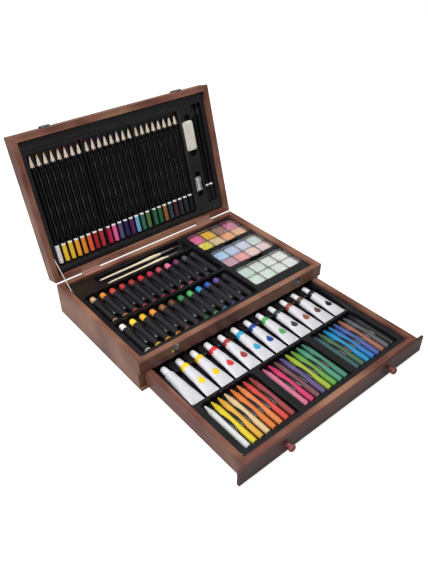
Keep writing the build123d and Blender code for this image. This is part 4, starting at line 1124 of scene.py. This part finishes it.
def brush_parts(number, place, ferrule, width, hair):
    """One brush along x: a turned handle whose radius swells to a belly and narrows into the
    ferrule, a crimped ferrule, and hairs from a spiral that draw in to a point."""
    grip = brush_handle
    along = np.linspace(0, grip, 60)
    share = along / grip
    half = 1.7 + 0.6 * share + 1.25 * bump(along, grip - 16.0, 22.0)
    half = np.minimum(half, brush_belly / 2)
    half *= np.sqrt(np.clip(share * 18, 0.06, 1))
    inner = width / 2 - 0.3
    half = half + (inner - half) * ease(along, grip - 13.0, grip)
    handle = skin(around(along, half, 28, "x"))
    shell_at = np.array([0.0, 0.3, 2.8, 3.1, 3.5, 3.9, 4.6, 5.0, 5.4, 7.0, 7.3, 7.7, 8.1,
                         ferrule - 0.4, ferrule])
    swell = 0.22 * (bump(shell_at, 3.8, 0.6) + bump(shell_at, 7.7, 0.5))
    shell = skin(around(shell_at + grip, width / 2 - 0.05 + swell, 32, "x"))
    hairs = []
    field = width / 2 - 0.45
    root = grip + ferrule - hair_hidden
    t = np.linspace(0, 1, 6)[:, None]
    thick = 0.17 * (1 - 0.75 * t)
    for index in range(bristles):
        spread = math.sqrt((index + 0.5) / bristles)
        turn = index * math.pi * (3 - math.sqrt(5))
        reach = hair * (1 - 0.35 * spread ** 2) + hair_hidden
        narrow = (1 + 0.10 * np.sin(np.pi * t) - 0.62 * t * t) * spread * field
        ring = turns(3) + turn
        part = skin(stacked(root + t * reach, narrow * math.cos(turn) - thick * np.cos(ring),
                            narrow * math.sin(turn) + thick * np.sin(ring)), along=t)
        part["marks"]["number"] = np.full(len(part["points"]), index + 1000.0 * number)
        hairs.append(part)
    made = handle, shell, joined(hairs)
    for part in made:
        part["points"] = part["points"] + np.array([*place, brush_axis])
    return made


def brushes():
    """Two brushes in their trough."""
    both = zip(brush_places, brush_ferrules, brush_widths, brush_hair)
    handles, shells, hairs = zip(*(brush_parts(number, *brush)
                                   for number, brush in enumerate(both)))
    add_piece("turned_brush_handles", joined(handles), "base", handle_lacquer,
              ("brush_handles",))
    add_piece("crimped_brush_ferrules", joined(shells), "base", ferrule_tin,
              ("brush_ferrules",), 30.0)
    add_piece("brush_hair_tufts", joined(hairs), "base", tuft_hair, ("brush_tufts",),
              60.0)


# ---- lid stay ----
def stay_cord(sides=16):
    """The taut cord between the clips: a round tube carried along the route's smooth line,
    which its material weaves."""
    curve = bpy.data.curves.new("stay_route", "CURVE")
    curve.dimensions = "3D"
    curve.resolution_u = 16
    line = curve.splines.new("NURBS")
    line.points.add(len(stay_route) - 1)
    for point, place in zip(line.points, stay_route):
        point.co = (*(value * MM for value in place), 1.0)
    line.order_u = 3
    line.use_endpoint_u = True
    guide = bpy.data.objects.new("stay_route", curve)
    line_mesh = bpy.data.meshes.new_from_object(guide)
    centres = np.array([vertex.co for vertex in line_mesh.vertices])
    bpy.data.objects.remove(guide)
    run = np.concatenate([[0], np.cumsum(np.linalg.norm(np.diff(centres, axis=0), axis=1))])
    forward = np.gradient(centres, axis=0)
    forward /= np.linalg.norm(forward, axis=1, keepdims=True)
    side = np.array([1.0, 0, 0])
    over = np.cross(forward, side)[:, None]
    angle = turns(sides)
    half = stay_width / 2 * MM
    rings = (centres[:, None] + half * np.cos(angle)[:, None] * side
             + half * np.sin(angle)[:, None] * over)
    part = skin(rings / MM, along=(run / MM)[:, None], turn=angle)
    piece = add_piece("braided_stay_cord", part, None, cord_braid)
    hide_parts("stay_cord")
    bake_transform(piece)


for build in (lid_insert, tray_insert, drawer_insert, pencils, eraser, sharpener, crayons,
              tubes, pastels, palettes, brushes, stay_cord):
    build()


# ---- floor, lamps and camera ----
floor_lift = 0.86
sky_strength = 0.17
sky_in_mirrors = 0.13        # what mirrors see of it on top


def looked_at(tree):
    """1 for what the camera sees, straight or through clear plastic, and 0 for the rest."""
    straight, through = (node(tree, "LightPath", output=f"Is {ray} Ray")
                         for ray in ("Camera", "Transmission"))
    return node(tree, "Math", {0: straight, 1: through}, operation="MAXIMUM")


def floor():
    """A wide pale floor just under the part.  What the camera sees of it, straight or through
    clear plastic, is lifted to white, and it keeps the shadow."""
    material, tree, place = blank("pale_studio_floor", "place")
    faint = node(tree, "TexNoise", {"Vector": place, "Scale": 8.0, "Detail": 2.0})
    colour = node(tree, "Mix", {0: faint, 6: "#b9b9b9", 7: "#c1c1c1"})
    lit = node(tree, "BsdfDiffuse", {"Color": colour})
    lift = node(tree, "Math", {0: looked_at(tree), 1: floor_lift}, operation="MULTIPLY")
    glow = node(tree, "Emission", {"Color": "#ffffff", "Strength": lift})
    both = node(tree, "AddShader", {0: lit, 1: glow})
    node(tree, "OutputMaterial", {"Surface": both})
    half = 6.0
    below = -0.0004
    mesh = bpy.data.meshes.new("studio_floor")
    mesh.from_pydata([(-half, -half, below), (half, -half, below), (half, half, below),
                      (-half, half, below)], [], [(0, 1, 2, 3)])
    mesh.materials.append(material)
    piece = bpy.data.objects.new("studio_floor", mesh)
    bpy.context.scene.collection.objects.link(piece)


def world():
    """Even studio light, with white behind the part for the camera and through clear plastic,
    and somewhat brighter in mirrors."""
    sky = bpy.data.worlds.new("studio")
    bpy.context.scene.world = sky
    sky.use_nodes = True
    tree = sky.node_tree
    tree.nodes.clear()
    strength = node(tree, "MapRange", {0: looked_at(tree), 3: sky_strength, 4: 1.0})
    mirrored = node(tree, "LightPath", output="Is Glossy Ray")
    strength = node(tree, "Math", {0: mirrored, 1: sky_in_mirrors, 2: strength},
                    operation="MULTIPLY_ADD")
    light = node(tree, "Background", {"Color": "#ffffff", "Strength": strength})
    node(tree, "OutputWorld", {"Surface": light})


def lamp(name, place, target, size, power):
    """A square soft box at a place, facing a target, in metres and watts."""
    light = bpy.data.lights.new(name, "AREA")
    light.size = size
    light.energy = power
    holder = bpy.data.objects.new(name, light)
    holder.location = place
    facing = Vector(target) - Vector(place)
    holder.rotation_euler = facing.to_track_quat("-Z", "Y").to_euler()
    bpy.context.scene.collection.objects.link(holder)


def camera():
    """The photograph's view: turned 40 degrees from the front, 37 degrees down."""
    turn = math.radians(40.04)
    down = math.radians(36.85)
    view = bpy.data.cameras.new("camera")
    view.sensor_fit = "VERTICAL"
    view.sensor_height = 36.0
    view.lens = 36.97
    view.clip_start = 0.05
    holder = bpy.data.objects.new("camera", view)
    holder.location = (-0.4757, -0.6217, 0.6170)
    holder.rotation_euler = (math.pi / 2 - down, 0.0, -turn)
    bpy.context.scene.collection.objects.link(holder)
    bpy.context.scene.camera = holder


floor()
world()
lamp("key_from_above", (-0.45, -0.10, 1.55), (0.0, 0.0, 0.05), 0.7, 31.0)
lamp("fill_from_left", (-1.7, -0.05, 0.75), (0.0, 0.0, 0.1), 1.0, 10.0)
lamp("low_front_for_edges", (-0.9, -1.7, 0.35), (0.0, 0.1, 0.15), 0.3, 2.4)
camera()
bpy.context.scene.view_settings.view_transform = "Standard"
